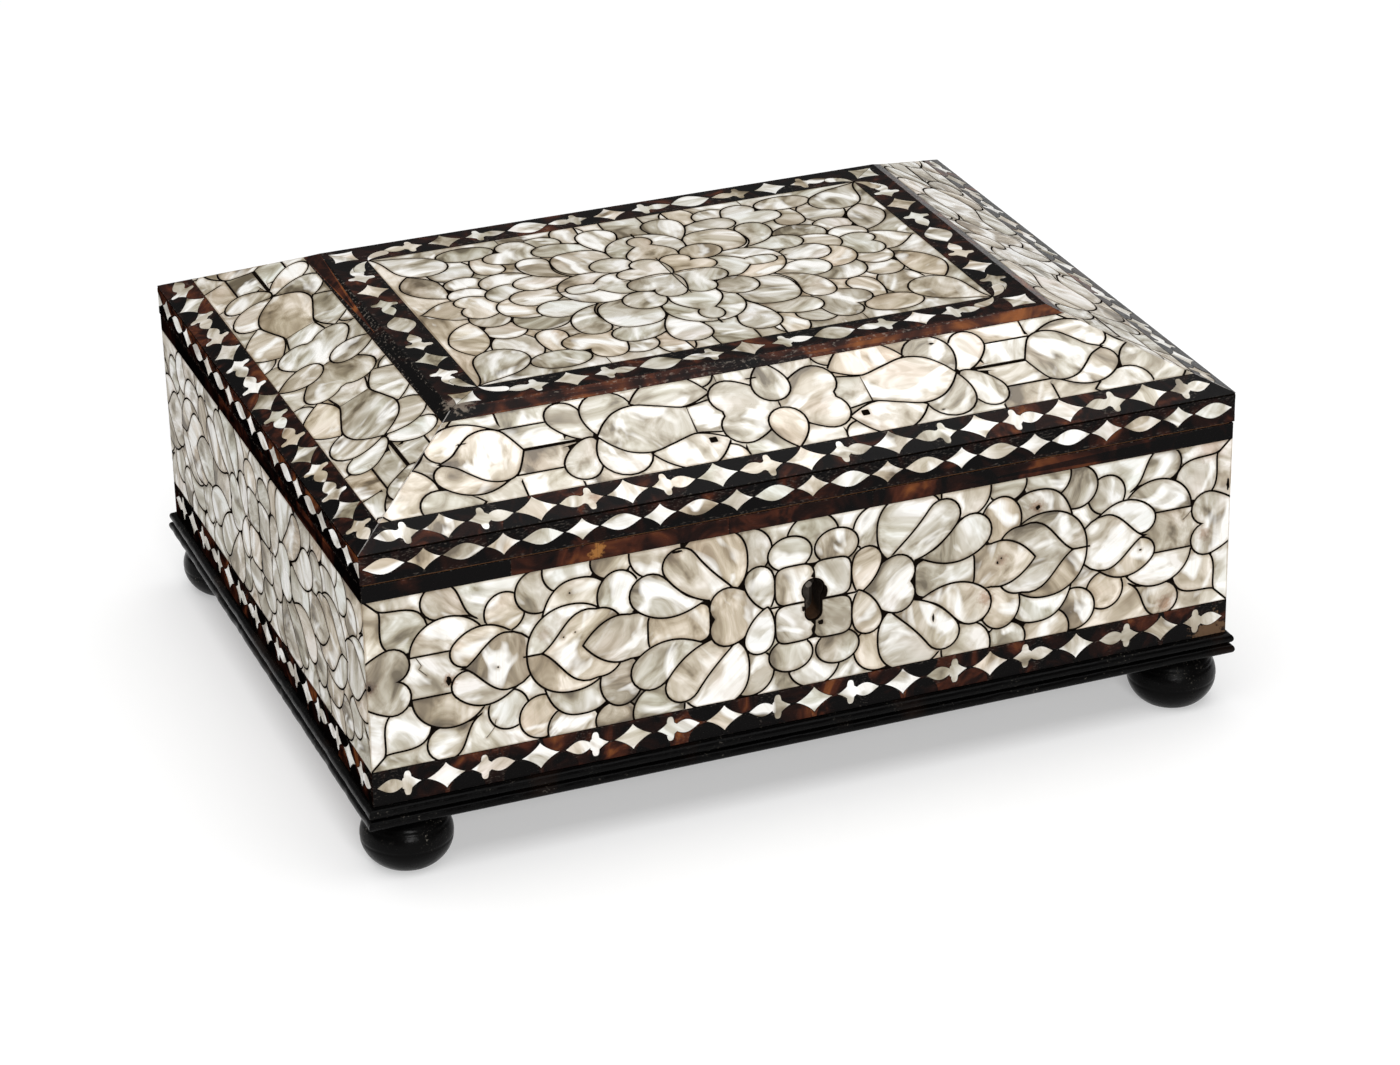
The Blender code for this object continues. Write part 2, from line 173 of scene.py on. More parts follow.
def blob(x, y, half_x, half_y, power=2.0, turn=0.0):
    """A round or oval. A `power` over 2 squares it, 1 makes it a lozenge, and less hollows its sides."""
    count = max(20, int(2 * math.pi * max(half_x, half_y) / CURVE_STEP / 1.4))
    cos_turn, sin_turn = math.cos(math.radians(turn)), math.sin(math.radians(turn))
    points = []
    for i in range(count):
        angle = 2 * math.pi * i / count
        c, s = math.cos(angle), math.sin(angle)
        px = half_x * math.copysign(abs(c) ** (2 / power), c)
        py = half_y * math.copysign(abs(s) ** (2 / power), s)
        points.append((x + px * cos_turn - py * sin_turn, y + px * sin_turn + py * cos_turn))
    return points


def lens(x0, x1, half, y=0.0):
    """A leaf between two points on a level line."""
    steps = 12
    upper = []
    for i in range(steps):
        share = i / steps
        upper.append((x0 + (x1 - x0) * share, y + half * math.sin(math.pi * share) ** 1.15))
    lower = [(x0 + x1 - x, 2 * y - py) for x, py in upper]
    return upper + lower


def spindle(*stations):
    """A long shape about a level line, given by a few half widths (x, half) that a smooth curve joins."""
    upper = []
    for i in range(len(stations) - 1):
        before, start = stations[max(0, i - 1)], stations[i]
        end, after = stations[i + 1], stations[min(len(stations) - 1, i + 2)]
        steps = max(2, int((end[0] - start[0]) / CURVE_STEP))
        for k in range(steps):
            u = k / steps
            slope_start = (end[1] - before[1]) / (end[0] - before[0])
            slope_end = (after[1] - start[1]) / (after[0] - start[0])
            run = end[0] - start[0]
            a, b = 2 * u ** 3 - 3 * u * u + 1, u ** 3 - 2 * u * u + u
            c, d = 3 * u * u - 2 * u ** 3, u ** 3 - u * u
            half = a * start[1] + b * run * slope_start + c * end[1] + d * run * slope_end
            upper.append((start[0] + run * u, half))
    upper.append(stations[-1])
    lower = [(x, -half) for x, half in upper if half > 0.01]
    return upper + lower[::-1]


def tile(*shapes, joined="", kind="pearl", tone=None):
    """One tile of the given shapes. `joined` names the axes over which its mirror images are one tile."""
    return {"shapes": shapes, "joined": joined, "kind": kind, "tone": tone}


def petal_tile(*values, joined=""):
    return tile(petal(*values), joined=joined)


def blob_tile(*values, joined=""):
    return tile(blob(*values), joined=joined)


def line_entry(outlines):
    """Places where no tile lies, so that the dark bed shows."""
    return {"kind": "line", "inner": [], "outer": outlines, "tone": None}


def cut(*lines, width=LINE):
    """Straight saw cuts (x0, y0, x1, y1) through what lies below them."""
    shapes = []
    for x0, y0, x1, y1 in lines:
        length = math.hypot(x1 - x0, y1 - y0)
        nx, ny = -(y1 - y0) / length * width / 2, (x1 - x0) / length * width / 2
        shapes.append([(x0 + nx, y0 + ny), (x0 - nx, y0 - ny), (x1 - nx, y1 - ny), (x1 + nx, y1 + ny)])
    return {"shapes": shapes, "joined": "", "kind": "line", "tone": None}


# Layouts of the pearl panels: one quarter each, from the lowest shape to the highest, in millimetres from
# the middle of the pattern

WALL = [
    blob_tile(0, 31.6, 13, 12.8, joined="x"),
    blob_tile(32, 30.6, 12, 12),
    petal_tile(196.2, 24, 11.2, 207.5, 36.2, 0.0, 1.6),
    cut((207.2, 35.8, 215, 43.4)),
    petal_tile(179, 35.4, 8.9, 162, 24, 0.0, 3.0),
    blob_tile(148.8, 24.6, 9.6, 10),
    blob_tile(133, 31.6, 11, 11),
    blob_tile(118, 40, 12.5, 12),
    blob_tile(97.5, 40, 10.2, 9),
    blob_tile(49, 27.6, 17, 17.5, 2.4),
    blob_tile(77, 40, 12.6, 13),
    blob_tile(113.5, 0, 19.5, 34.3, 2.5, joined="y"),
    blob_tile(94.5, 21.5, 10.4, 12.6),
    blob_tile(175.6, 10.4, 18.5, 17.3),
    blob_tile(185, 0, 20, 10.5, 12, joined="y"),
    petal_tile(167.7, 8.3, 7.3, 142, 12, -0.42, 1.9),
    petal_tile(149, 0, 14.4, 170, 0, 0, 1.9, joined="y"),
    blob_tile(118, 0, 21.3, 22, 2.15, joined="y"),
    cut((128, 0, 141, 0)),
    tile(petal(110, 7, 11, 132.5, 0, -0.12, 1.4), blob(105, 0, 13, 17.3, 2.3), joined="y"),
    tile(petal(94, 0, 11.9, 112.5, 0, 0, 0.95), blob(88, 0, 13, 11.3), joined="y"),
    blob_tile(66, 0, 15.2, 10, 5, joined="y"),
    petal_tile(80, 19.1, 9.8, 48.5, 12.9, 0.30, 2.0),
    petal_tile(65, 30.3, 8.6, 38, 11.5, 0.19, 0.6),
    petal_tile(202.6, 8, 8.6, 224, 0, 0, 0.7, joined="y"),
    petal_tile(42, 5.8, 9.1, 23, 0, 0, 0.95, joined="y"),
    blob_tile(11.6, 25.8, 10.9, 8.7),
    petal_tile(27, 15.0, 7.4, 22.5, -1, 0, 0.8),
    blob_tile(9.2, 9.8, 9.8, 9.9, 4),
    cut((0, 0, 22, 0), (0, -19, 0, 19)),
]

SLOPE = [
    blob_tile(184, 14.4, 16, 16),
    petal_tile(170, 24, 10, 150, 25, 0.0, 1.0),
    cut((24, 16, 24, 30), width=0.4),
    blob_tile(33, 26, 9, 8.5),
    blob_tile(117, 0, 13.6, 40, 8, joined="y"),
    cut((94, 0.4, 127, 0.4), (102, 13.9, 132, 13.9)),
    petal_tile(161.4, 7.9, 7.4, 131.5, 13.2, -0.41, 2.1),
    tile(
        spindle((124, 0), (127, 6.5), (131, 13), (138, 15.6), (146, 13.6), (152, 8.5), (157, 3.5), (164, 0)),
        joined="y",
    ),
    petal_tile(100.5, 15, 8.6, 91, 0, 0, 0.6),
    petal_tile(80, 12.4, 12.9, 88, 0, 0, 0.8),
    tile(petal(47, 18.8, 10.2, 68, 15.6, 0.05, 1.0), petal(47, 18.8, 10.2, 29, 14.5, 0, 1.1)),
    tile(
        spindle((26, 11), (35, 9.4), (44, 8.2), (56, 11.6), (67, 14.4), (77, 12.2), (84, 6.6), (89, 0)),
        joined="y",
    ),
    cut((43.0, -7.9, 43.6, 7.9), width=0.4),
    tile(petal(21.3, 9.3, 10, 0, 0, 0, 0.6), blob(16, 0, 11.6, 12), joined="xy"),
    petal_tile(0, 11.4, 9.2, 0, 27, 0, 1.0, joined="x"),
]

TOP = [
    cut((64.5, 82, 64.5, 92), width=0.4),
    petal_tile(110, 0, 13, 127.5, 0, 0, 1.3, joined="y"),
    blob_tile(98, 54.5, 12, 17),
    blob_tile(96.5, 33, 10.4, 10),
    tile(petal(116.8, 39, 9.8, 108, 17, 0.1, 0.9), petal(116.8, 39, 9.8, 119, 56.5, 0, 1.0)),
    petal_tile(79, 48, 7.8, 82, 70, 0, 0.8),
    blob_tile(84, 75.5, 14.8, 10),
    petal_tile(109.5, 66.2, 13.4, 130, 90, 0.08, 1.9),
    blob_tile(98.8, 17, 10.2, 10.4),
    blob_tile(76.3, 26.8, 14, 13.4),
    petal_tile(100.5, 6.8, 8.6, 85, 0, 0, 0.8, joined="y"),
    blob_tile(77.5, 9.6, 14.6, 14),
    petal_tile(72, 0, 10.8, 55, 0, 0, 0.6, joined="y"),
    petal_tile(65, 19, 10.4, 46, 20, 0, 0.8),
    blob_tile(0, 80, 10.5, 24, 2.4, joined="x"),
    blob_tile(29, 79, 9, 13),
    cut((24, 78, 23, 92)),
    blob_tile(45.5, 72.5, 10.4, 10.3),
    tile(petal(69.5, 61.5, 8.8, 52, 52, 0, 0.7), petal(59.5, 74, 9, 52, 52, 0, 0.6)),
    petal_tile(57.3, 46.5, 8.5, 45.3, 20.3, 0.36, 1.3),
    petal_tile(44, 60.5, 9.4, 19.5, 44.5, -0.40, 2.2),
    petal_tile(17.5, 70.5, 10.4, 20, 46, 0, 1.0),
    blob_tile(34.7, 37, 15.1, 17, 2.6),
    blob_tile(38.5, 0, 19.5, 20.6, joined="y"),
    cut((52, 0, 60, 0)),
    tile(petal(27.5, 0, 14.4, 44, 0, 0, 1.7), blob(46, 0, 8.5, 5.9, 2.6), joined="y"),
    blob_tile(0, 42, 20, 21, joined="x"),
    cut((0, 58, 0, 66)),
    tile(petal(0, 31, 13.0, 0, 51, 0, 1.25), blob(0, 52.2, 6.2, 7.6), joined="x"),
    blob_tile(23.5, 25.4, 10.9, 10.9),
    tile(petal(17.6, 7.8, 8.2, 0, 0, 0, 0.6), petal(7.9, 19, 8.0, 0, 0, 0, 0.6)),
    cut((0, 0, 25, 0), (0, -26, 0, 26), width=0.7),
]


# Motifs of the inlaid bands, along a level middle line

def star(x, half_x, half_y, turn=0.0, y=0.0):
    """A four-pointed star with hollow sides."""
    return tile(blob(x, y, half_x, half_y, 0.78, turn))


FLEUR_LENGTH = 21.4


def fleur(tip, way, lobe):
    """A leaf with a two-lobed collar and a hollow-sided tail. Its leaf's tip is at `tip`."""
    leaf = lens(tip, tip + way * 14.5, 3.5)
    collar = blob(tip + way * 14.6, 0, 2.0, lobe, 3.0)
    tail = blob(tip + way * 14.6, 0, 6.8, lobe - 1, 0.8)
    return tile(leaf, collar, tail)


def oval(x, half_x, half_y):
    return tile(lens(x - half_x, x + half_x, half_y))


def big_oval(x, half_x, half_y):
    """A round leaf drawn out to a point at both ends."""
    ends = [petal(x, 0, half_y, x + way * half_x, 0, 0, 1.25) for way in (-1, 1)]
    return tile(*ends)


def scales(xs, offset, half_height, radius):
    """Round tortoiseshell scales above and below the middle line, on both sides of each star."""
    return [
        tile(blob(x + way * offset, side * half_height, radius, radius), kind="shell")
        for x in xs
        for way in (-1, 1)
        for side in (-1, 1)
    ]


# Geometry helpers

def signed_area(points):
    return sum(a[0] * b[1] - b[0] * a[1] for a, b in zip(points, points[1:] + points[:1])) / 2


def mirrored(points, sign_x, sign_y):
    """The outline in another quarter, always turning left."""
    placed = [(sign_x * x, sign_y * y) for x, y in points]
    return placed if signed_area(placed) > 0 else placed[::-1]


def grown(points, distance):
    """The outline moved outwards, or inwards where `distance` is negative."""
    out = []
    count = len(points)
    for i in range(count):
        (ax, ay), (bx, by), (cx, cy) = points[i - 1], points[i], points[(i + 1) % count]
        first = Vector((by - ay, ax - bx))
        second = Vector((cy - by, bx - cx))
        if first.length < 1e-9 or second.length < 1e-9:
            continue
        first.normalize()
        second.normalize()
        middle = first + second
        if middle.length < 1e-6:
            middle = Vector((second.y, -second.x))
        middle.normalize()
        reach = distance / max(SHARPEST_CORNER, middle.dot(first))
        out.append((bx + middle.x * reach, by + middle.y * reach))
    return out


def inside(points, outline):
    """Which of the points lie in the outline, by how often it winds round them."""
    ring = np.asarray(outline)
    low, high = ring.min(0), ring.max(0)
    result = np.zeros(len(points), bool)
    near = np.nonzero(((points >= low) & (points <= high)).all(1))[0]
    if len(near) == 0:
        return result
    x, y = points[near, 0][:, None], points[near, 1][:, None]
    x0, y0 = ring[:, 0], ring[:, 1]
    x1, y1 = np.roll(x0, -1), np.roll(y0, -1)
    side = (x1 - x0) * (y - y0) - (x - x0) * (y1 - y0)
    winding = ((y0 <= y) & (y1 > y) & (side > 0)).sum(1) - ((y0 > y) & (y1 <= y) & (side < 0)).sum(1)
    result[near] = winding > 0
    return result


def in_any(points, outlines):
    hit = np.zeros(len(points), bool)
    for outline in outlines:
        hit |= inside(points, outline)
    return hit


class Panel:
    """A flat face with places (s, t) in millimetres and heights above it."""

    def __init__(self, name, body, origin, along, up, outline):
        self.name = name
        self.body = body
        self.origin = origin
        self.along = along
        self.up = up
        self.normal = along.cross(up)
        self.outline = outline

    def at(self, s, t, height=0.0):
        return self.origin + (self.along * s + self.up * t + self.normal * height) * MM


def laid(layout, rng, quarters=True, centre=(0.0, 0.0), squeeze=1.0):
    """The layout's tiles in all quarters, each with its inner and outer outlines."""
    placed = []
    signs = [(x, y) for x in (1, -1) for y in (1, -1)] if quarters else [(1, 1)]
    for entry in layout:
        groups = {}
        for sign_x, sign_y in signs:
            key = (0 if "x" in entry["joined"] else sign_x, 0 if "y" in entry["joined"] else sign_y)
            groups.setdefault(key, []).append((sign_x, sign_y))
        for key, members in groups.items():
            free = quarters and entry["kind"] != "line" and 0 not in key
            shift_x = rng.uniform(-HAND_SHIFT, HAND_SHIFT) if free else 0.0
            shift_y = rng.uniform(-HAND_SHIFT, HAND_SHIFT) if free else 0.0
            turn = math.radians(rng.uniform(-HAND_TURN, HAND_TURN)) if free else 0.0
            outlines = []
            for sign_x, sign_y in members:
                for shape in entry["shapes"]:
                    points = nudged(mirrored(shape, sign_x, sign_y), shift_x, shift_y, turn)
                    if not any(same_outline(points, other) for other in outlines):
                        outlines.append(points)
            outlines = [
                [(x + centre[0], y * (squeeze if y > 0 else 1.0) + centre[1]) for x, y in points]
                for points in outlines
            ]
            line = LINE if quarters else INLAY_LINE
            half = line / 2 if entry["kind"] == "pearl" else SEAM_LINE / 2
            if entry["kind"] == "line":
                placed.append(line_entry(outlines))
            else:
                inner = [grown(points, -half) for points in outlines]
                outer = [grown(points, half) for points in outlines]
                placed.append(
                    {"kind": entry["kind"], "inner": inner, "outer": outer, "tone": entry["tone"]}
                )
    return placed


def same_outline(one, other):
    """True where two outlines cover the same place, as a shape and its mirror image can do."""
    box_one = np.ptp(one, axis=0), np.mean(one, axis=0)
    box_other = np.ptp(other, axis=0), np.mean(other, axis=0)
    return len(one) == len(other) and np.allclose(box_one, box_other, atol=0.02)


def nudged(points, shift_x, shift_y, turn):
    middle_x = sum(x for x, y in points) / len(points)
    middle_y = sum(y for x, y in points) / len(points)
    c, s = math.cos(turn), math.sin(turn)
    out = []
    for x, y in points:
        dx, dy = x - middle_x, y - middle_y
        out.append((middle_x + dx * c - dy * s + shift_x, middle_y + dx * s + dy * c + shift_y))
    return out


def visible_segments(tiles, outline):
    """Every stretch of the tiles' outlines that no higher tile covers."""
    starts, ends, owner, own_part, is_inner = [], [], [], [], []
    for index, entry in enumerate(tiles):
        for group, flag in (("inner", True), ("outer", False)):
            for part, points in enumerate(entry[group]):
                for a, b in zip(points, points[1:] + points[:1]):
                    starts.append(a)
                    ends.append(b)
                    owner.append(index)
                    own_part.append(part)
                    is_inner.append(flag)
    starts, ends = np.array(starts), np.array(ends)
    owner, own_part, is_inner = np.array(owner), np.array(own_part), np.array(is_inner)
    middle = (starts + ends) / 2
    keep = inside(middle, grown(outline, 0.5))
    for index, entry in enumerate(tiles):
        lower = keep & (owner < index)
        picked = np.nonzero(lower)[0]
        if len(picked):
            keep[picked[in_any(middle[picked], entry["outer"])]] = False
        for group, flag in (("inner", True), ("outer", False)):
            if len(entry[group]) < 2:
                continue
            for part, points in enumerate(entry[group]):
                picked = np.nonzero(keep & (owner == index) & (is_inner == flag) & (own_part != part))[0]
                if len(picked):
                    keep[picked[inside(middle[picked], points)]] = False
    return starts[keep], ends[keep]


def triangulate(tiles, outline, grid):
    """Triangles of the panel that follow every visible outline, and the tile that each belongs to."""
    starts, ends = visible_segments(tiles, outline)
    points = [Vector(p) for p in outline]
    edges = [(i, (i + 1) % len(outline)) for i in range(len(outline))]
    for a, b in zip(starts, ends):
        edges.append((len(points), len(points) + 1))
        points.append(Vector(a))
        points.append(Vector(b))
    tree = kdtree.KDTree(len(points))
    for i, p in enumerate(points):
        tree.insert((p.x, p.y, 0), i)
    tree.balance()
    xs = [p[0] for p in outline]
    ys = [p[1] for p in outline]
    row_height = grid * math.sqrt(3) / 2
    candidates = []
    for row in range(int((max(ys) - min(ys)) / row_height) + 1):
        y = min(ys) + (row + 0.5) * row_height
        for column in range(int((max(xs) - min(xs)) / grid) + 1):
            x = min(xs) + (column + 0.5 * (row % 2)) * grid
            candidates.append((x, y))
    candidates = np.array(candidates)
    candidates = candidates[inside(candidates, grown(outline, -RIM_CLEARANCE * grid))]
    for x, y in candidates:
        if tree.find((x, y, 0))[2] > POINT_CLEARANCE * grid:
            points.append(Vector((x, y)))
    vertices, _, faces, _, _, _ = delaunay_2d_cdt(points, edges, [], 0, WELD)
    places = np.array([(v.x, v.y) for v in vertices])
    triangles = np.array([tuple(f) for f in faces if len(f) == 3])
    corners = places[triangles]
    area = np.cross(corners[:, 1] - corners[:, 0], corners[:, 2] - corners[:, 0]) / 2
    centres = corners.mean(1)
    good = inside(centres, outline) & (np.abs(area) > SMALLEST_TRIANGLE)
    triangles, centres = triangles[good], centres[good]
    flip = area[good] < 0
    triangles[flip] = triangles[flip][:, ::-1]
    labels = np.full(len(triangles), GROUND)
    open_ones = np.ones(len(triangles), bool)
    for index in range(len(tiles) - 1, -1, -1):
        picked = np.nonzero(open_ones)[0]
        hit_inner = in_any(centres[picked], tiles[index]["inner"])
        labels[picked[hit_inner]] = index
        open_ones[picked[hit_inner]] = False
        rest = picked[~hit_inner]
        hit_outer = in_any(centres[rest], tiles[index]["outer"])
        labels[rest[hit_outer]] = IN_LINE
        open_ones[rest[hit_outer]] = False
    return places, triangles, labels


def connected(triangles, labels):
    """Groups of triangles that share edges and a label."""
    by_edge = {}
    for number, (a, b, c) in enumerate(triangles.tolist()):
        for edge in ((a, b), (b, c), (c, a)):
            by_edge.setdefault(tuple(sorted(edge)), []).append(number)
    parent = list(range(len(triangles)))

    def root(i):
        while parent[i] != i:
            parent[i] = parent[parent[i]]
            i = parent[i]
        return i

    for members in by_edge.values():
        if len(members) == 2 and labels[members[0]] == labels[members[1]]:
            one, two = root(members[0]), root(members[1])
            parent[max(one, two)] = min(one, two)
    groups = {}
    for number in range(len(triangles)):
        if labels[number] != IN_LINE:
            groups.setdefault(root(number), []).append(number)
    return [groups[key] for key in sorted(groups)]


def boundary_edges(triangles):
    """The directed edges of a patch that only one triangle has."""
    directed = set()
    for a, b, c in triangles:
        directed.update(((a, b), (b, c), (c, a)))
    return [(a, b) for a, b in sorted(directed) if (b, a) not in directed]


def smooth(mesh, material):
    """Gives a mesh its material and smooth shading with sharp edges."""
    mesh.materials.append(material)
    mesh.polygons.foreach_set("use_smooth", [True] * len(mesh.polygons))
    mesh.set_sharp_from_angle(angle=SMOOTH_ANGLE)


class TileMesh:
    """Gathers tiles of one material into one mesh, with each tile's own tone, warmth and grain."""

    def __init__(self):
        self.points = []
        self.faces = []
        self.values = []
        self.edges = []

    def add(self, panel, places, triangles, values, rng, flat, shade):
        rim = boundary_edges(triangles)
        rim_ids = sorted({i for edge in rim for i in edge})
        used = sorted({i for triangle in triangles for i in triangle})
        middle = places[used].mean(0)
        size = np.ptp(places[used], axis=0).max() / 2 * MM
        values = values + [size, tuple(panel.at(middle[0], middle[1]))]
        tree = kdtree.KDTree(len(rim_ids))
        for i, p in enumerate(rim_ids):
            tree.insert((places[p][0], places[p][1], 0), i)
        tree.balance()
        tilt_s = rng.uniform(-TILE_TILT, TILE_TILT)
        tilt_t = rng.uniform(-TILE_TILT, TILE_TILT)
        top, bottom = {}, {}
        rim_set = set(rim_ids)
        for i in used:
            s, t = places[i]
            distance = 0.0 if i in rim_set else tree.find((s, t, 0))[2]
            height = -RIM_DROP * math.exp(-distance / RIM_WIDTH)
            if flat:
                height *= FLAT_RIM_SHARE
            else:
                lean = (s - middle[0]) * tilt_s + (t - middle[1]) * tilt_t
                height += min(0.0, max(-MOST_SINK, lean - TILE_SINK))
            top[i] = len(self.points)
            self.points.append(panel.at(s, t, height))
            # Nearness to the tile's rim: the pearl paints shade with it, and the shell's pale scratches
            # follow it
            self.edges.append(shade * math.exp(-distance / EDGE_SHADE))
        loops = loops_of(rim)
        whole = len(loops) == 1
        for i in rim_ids if whole else used:
            bottom[i] = len(self.points)
            self.points.append(panel.at(places[i][0], places[i][1], -TILE_DEPTH))
            self.edges.append(shade)
        for triangle in triangles:
            self.faces.append([top[i] for i in triangle])
            self.values.append(values)
        for a, b in rim:
            self.faces.append([top[b], top[a], bottom[a], bottom[b]])
            self.values.append(values)
        for under in loops if whole else triangles:
            self.faces.append([bottom[i] for i in reversed(under)])
            self.values.append(values)

    def build(self, name, material, body, slot, replaced=()):
        mesh = bpy.data.meshes.new(name)
        mesh.from_pydata([tuple(p) for p in self.points], [], self.faces)
        for index, key in ((0, "tone"), (1, "warmth"), (2, "seed"), (4, "size")):
            layer = mesh.attributes.new(key, "FLOAT", "FACE")
            layer.data.foreach_set("value", [v[index] for v in self.values])
        for index, key in ((3, "grain"), (5, "middle")):
            layer = mesh.attributes.new(key, "FLOAT_VECTOR", "FACE")
            layer.data.foreach_set("vector", [c for v in self.values for c in v[index]])
        layer = mesh.attributes.new("edge", "FLOAT", "POINT")
        layer.data.foreach_set("value", self.edges)
        smooth(mesh, material)
        place_piece(name, mesh, body, replaced)


def loops_of(rim):
    """The rim's edges as closed loops. A point where two loops touch ends a loop."""
    follow = {}
    for a, b in rim:
        follow.setdefault(a, []).append(b)
    loops = []
    while follow:
        start = min(follow)
        loop = [start]
        while True:
            here = loop[-1]
            following = follow[here].pop()
            if not follow[here]:
                del follow[here]
            if following == start:
                break
            loop.append(following)
        loops.append(loop)
    return loops


def place_piece(name, mesh, body, replaced=()):
    piece = bpy.data.objects.new(name, mesh)
    bpy.context.scene.collection.objects.link(piece)
    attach(piece, body)
    if replaced:
        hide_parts(*replaced)


def lay_mosaic(panel, tiles, rng, grid, tile_mesh, shell_mesh, base_kind="pearl"):
    """Adds the visible tiles of one panel to the pearl or the tortoiseshell mesh."""
    places, triangles, labels = triangulate(tiles, panel.outline, grid)
    for group in connected(triangles, labels):
        patch = triangles[group].tolist()
        corners = places[triangles[group]]
        area = np.abs(np.cross(corners[:, 1] - corners[:, 0], corners[:, 2] - corners[:, 0])).sum() / 2
        label = labels[group[0]]
        kind = base_kind if label == GROUND else tiles[label]["kind"]
        angle = rng.uniform(0, math.pi)
        direction = panel.along * math.cos(angle) + panel.up * math.sin(angle)
        values = [rng.random(), rng.random(), rng.random(), tuple(direction)]
        if label != GROUND and tiles[label]["tone"] is not None:
            values[0] = tiles[label]["tone"]
        if area < SMALLEST_TILE:
            continue
        if kind == "pearl":
            shade = 1.0 if base_kind == "pearl" else INLAY_EDGE_SHADE
            tile_mesh.add(panel, places, patch, values, rng, False, shade)
        else:
            shell_mesh.add(panel, places, patch, values, rng, True, 1.0)


def mastic_bed(panel, holes=()):
    """The dark bed under a mosaic: a slab a little below the panel's face, with the holes left open."""
    points = [Vector(p) for p in panel.outline]
    edges = [(i, (i + 1) % len(points)) for i in range(len(points))]
    for hole in holes:
        first = len(points)
        points += [Vector(p) for p in hole]
        edges += [(first + i, first + (i + 1) % len(hole)) for i in range(len(hole))]
    vertices, _, faces, _, _, _ = delaunay_2d_cdt(points, edges, [], 0, 0.001)
    places = np.array([(v.x, v.y) for v in vertices])
    triangles = np.array([tuple(f) for f in faces])
    centres = places[triangles].mean(1)
    keep = inside(centres, panel.outline)
    for hole in holes:
        keep &= ~inside(centres, hole)
    triangles = triangles[keep]
    solid = bmesh.new()
    upper = [solid.verts.new(panel.at(s, t, -GROUND_DROP)) for s, t in places]
    lower = [solid.verts.new(panel.at(s, t, -VENEER_DEPTH)) for s, t in places]
    for a, b, c in triangles.tolist():
        solid.faces.new((upper[a], upper[b], upper[c]))
        solid.faces.new((lower[c], lower[b], lower[a]))
    for a, b in boundary_edges(triangles.tolist()):
        solid.faces.new((upper[b], upper[a], lower[a], lower[b]))
    loose = [v for v in solid.verts if not v.link_faces]
    bmesh.ops.delete(solid, geom=loose, context="VERTS")
    bmesh.ops.recalc_face_normals(solid, faces=solid.faces)
    mesh = bpy.data.meshes.new(f"{panel.name}_bed")
    solid.to_mesh(mesh)
    solid.free()
    mesh.materials.append(MASTIC)
    place_piece(f"{panel.name}_bed", mesh, panel.body)


# Panels, worked out from the solids' boxes

def section(front_node):
    """Outer and inner edge of a front length: (distance from the middle, level) in metres."""
    low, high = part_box(front_node)
    return (-low.y, low.z), (-high.y, high.z)


CASE_Y = -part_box("case_pearl_field_front")[0].y
CASE_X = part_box("case_pearl_field_right")[1].x
LID_Y = -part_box("lid_rim_band_front")[0].y
LID_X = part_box("lid_rim_band_right")[1].x
LID_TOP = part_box("lid_top_border_front")[1].z
CASE_HALF = (CASE_X, CASE_Y)
LID_HALF = (LID_X, LID_Y)

BAND_INNER = section("lid_slope_band_front")[1]
SLOPE_INNER = section("lid_pearl_slope_front")[1]
STEEPNESS = (SLOPE_INNER[1] - BAND_INNER[1]) / (BAND_INNER[0] - SLOPE_INNER[0])
RIM_TOP = BAND_INNER[1] - STEEPNESS * (LID_Y - BAND_INNER[0])
SLOPE_OUTER_Y = section("lid_pearl_slope_front")[0][0]
SLOPE_OUTER = (SLOPE_OUTER_Y, RIM_TOP + STEEPNESS * (LID_Y - SLOPE_OUTER_Y))


def side_panel(name, side, body, outer, inner, half, first_t):
    """A mitred length of one side between two edges of its section, given for the front.

    `half` is the half size that the section belongs to, and `first_t` the t of the outer edge.
    """
    half_x, half_y = half
    away_half, along_half = (half_y, half_x) if side in LONG_SIDES else (half_x, half_y)
    outer_off, inner_off = half_y - outer[0], half_y - inner[0]
    turn = Matrix.Rotation(math.radians(SIDES[side]), 3, "Z")
    along = turn @ Vector((1, 0, 0))
    out = turn @ Vector((0, -1, 0))
    up = (-out * (inner_off - outer_off) + Vector((0, 0, inner[1] - outer[1]))).normalized()
    height = math.hypot(inner_off - outer_off, inner[1] - outer[1]) / MM
    origin = out * (away_half - outer_off) + Vector((0, 0, outer[1])) - up * first_t * MM
    low = (along_half - outer_off - MITRE_PULL) / MM
    high = (along_half - inner_off - MITRE_PULL) / MM
    outline = [(-low, first_t), (low, first_t), (high, first_t + height), (-high, first_t + height)]
    return Panel(name, body, origin, along, up, outline)


def upright_panel(name, side, body, front_node, half):
    """A panel on the upright face of one side, with the level as its t."""
    low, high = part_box(front_node)
    return side_panel(name, side, body, (half[1], low.z), (half[1], high.z), half, low.z / MM)


# Materials

# Brown stains in the pearl: place in metres, radius, strength
STAINS = [
    ((-0.213, -0.168, 0.098), 0.0045, 0.9),
    ((-0.176, -0.168, 0.094), 0.0040, 0.8),
    ((0.113, -0.168, 0.124), 0.0050, 0.8),
    ((0.095, -0.168, 0.100), 0.0040, 0.5),
    ((0.087, -0.168, 0.082), 0.0050, 0.7),
    ((0.181, -0.168, 0.060), 0.0060, 0.8),
    ((0.201, -0.168, 0.093), 0.0045, 0.6),
    ((-0.068, -0.168, 0.135), 0.0060, 0.4),
    ((-0.131, -0.168, 0.108), 0.0045, 0.4),
    ((0.203, -0.168, 0.138), 0.0100, 0.6),
    ((-0.101, -0.161, 0.167), 0.0050, 0.8),
    ((-0.042, -0.161, 0.167), 0.0050, 0.3),
]
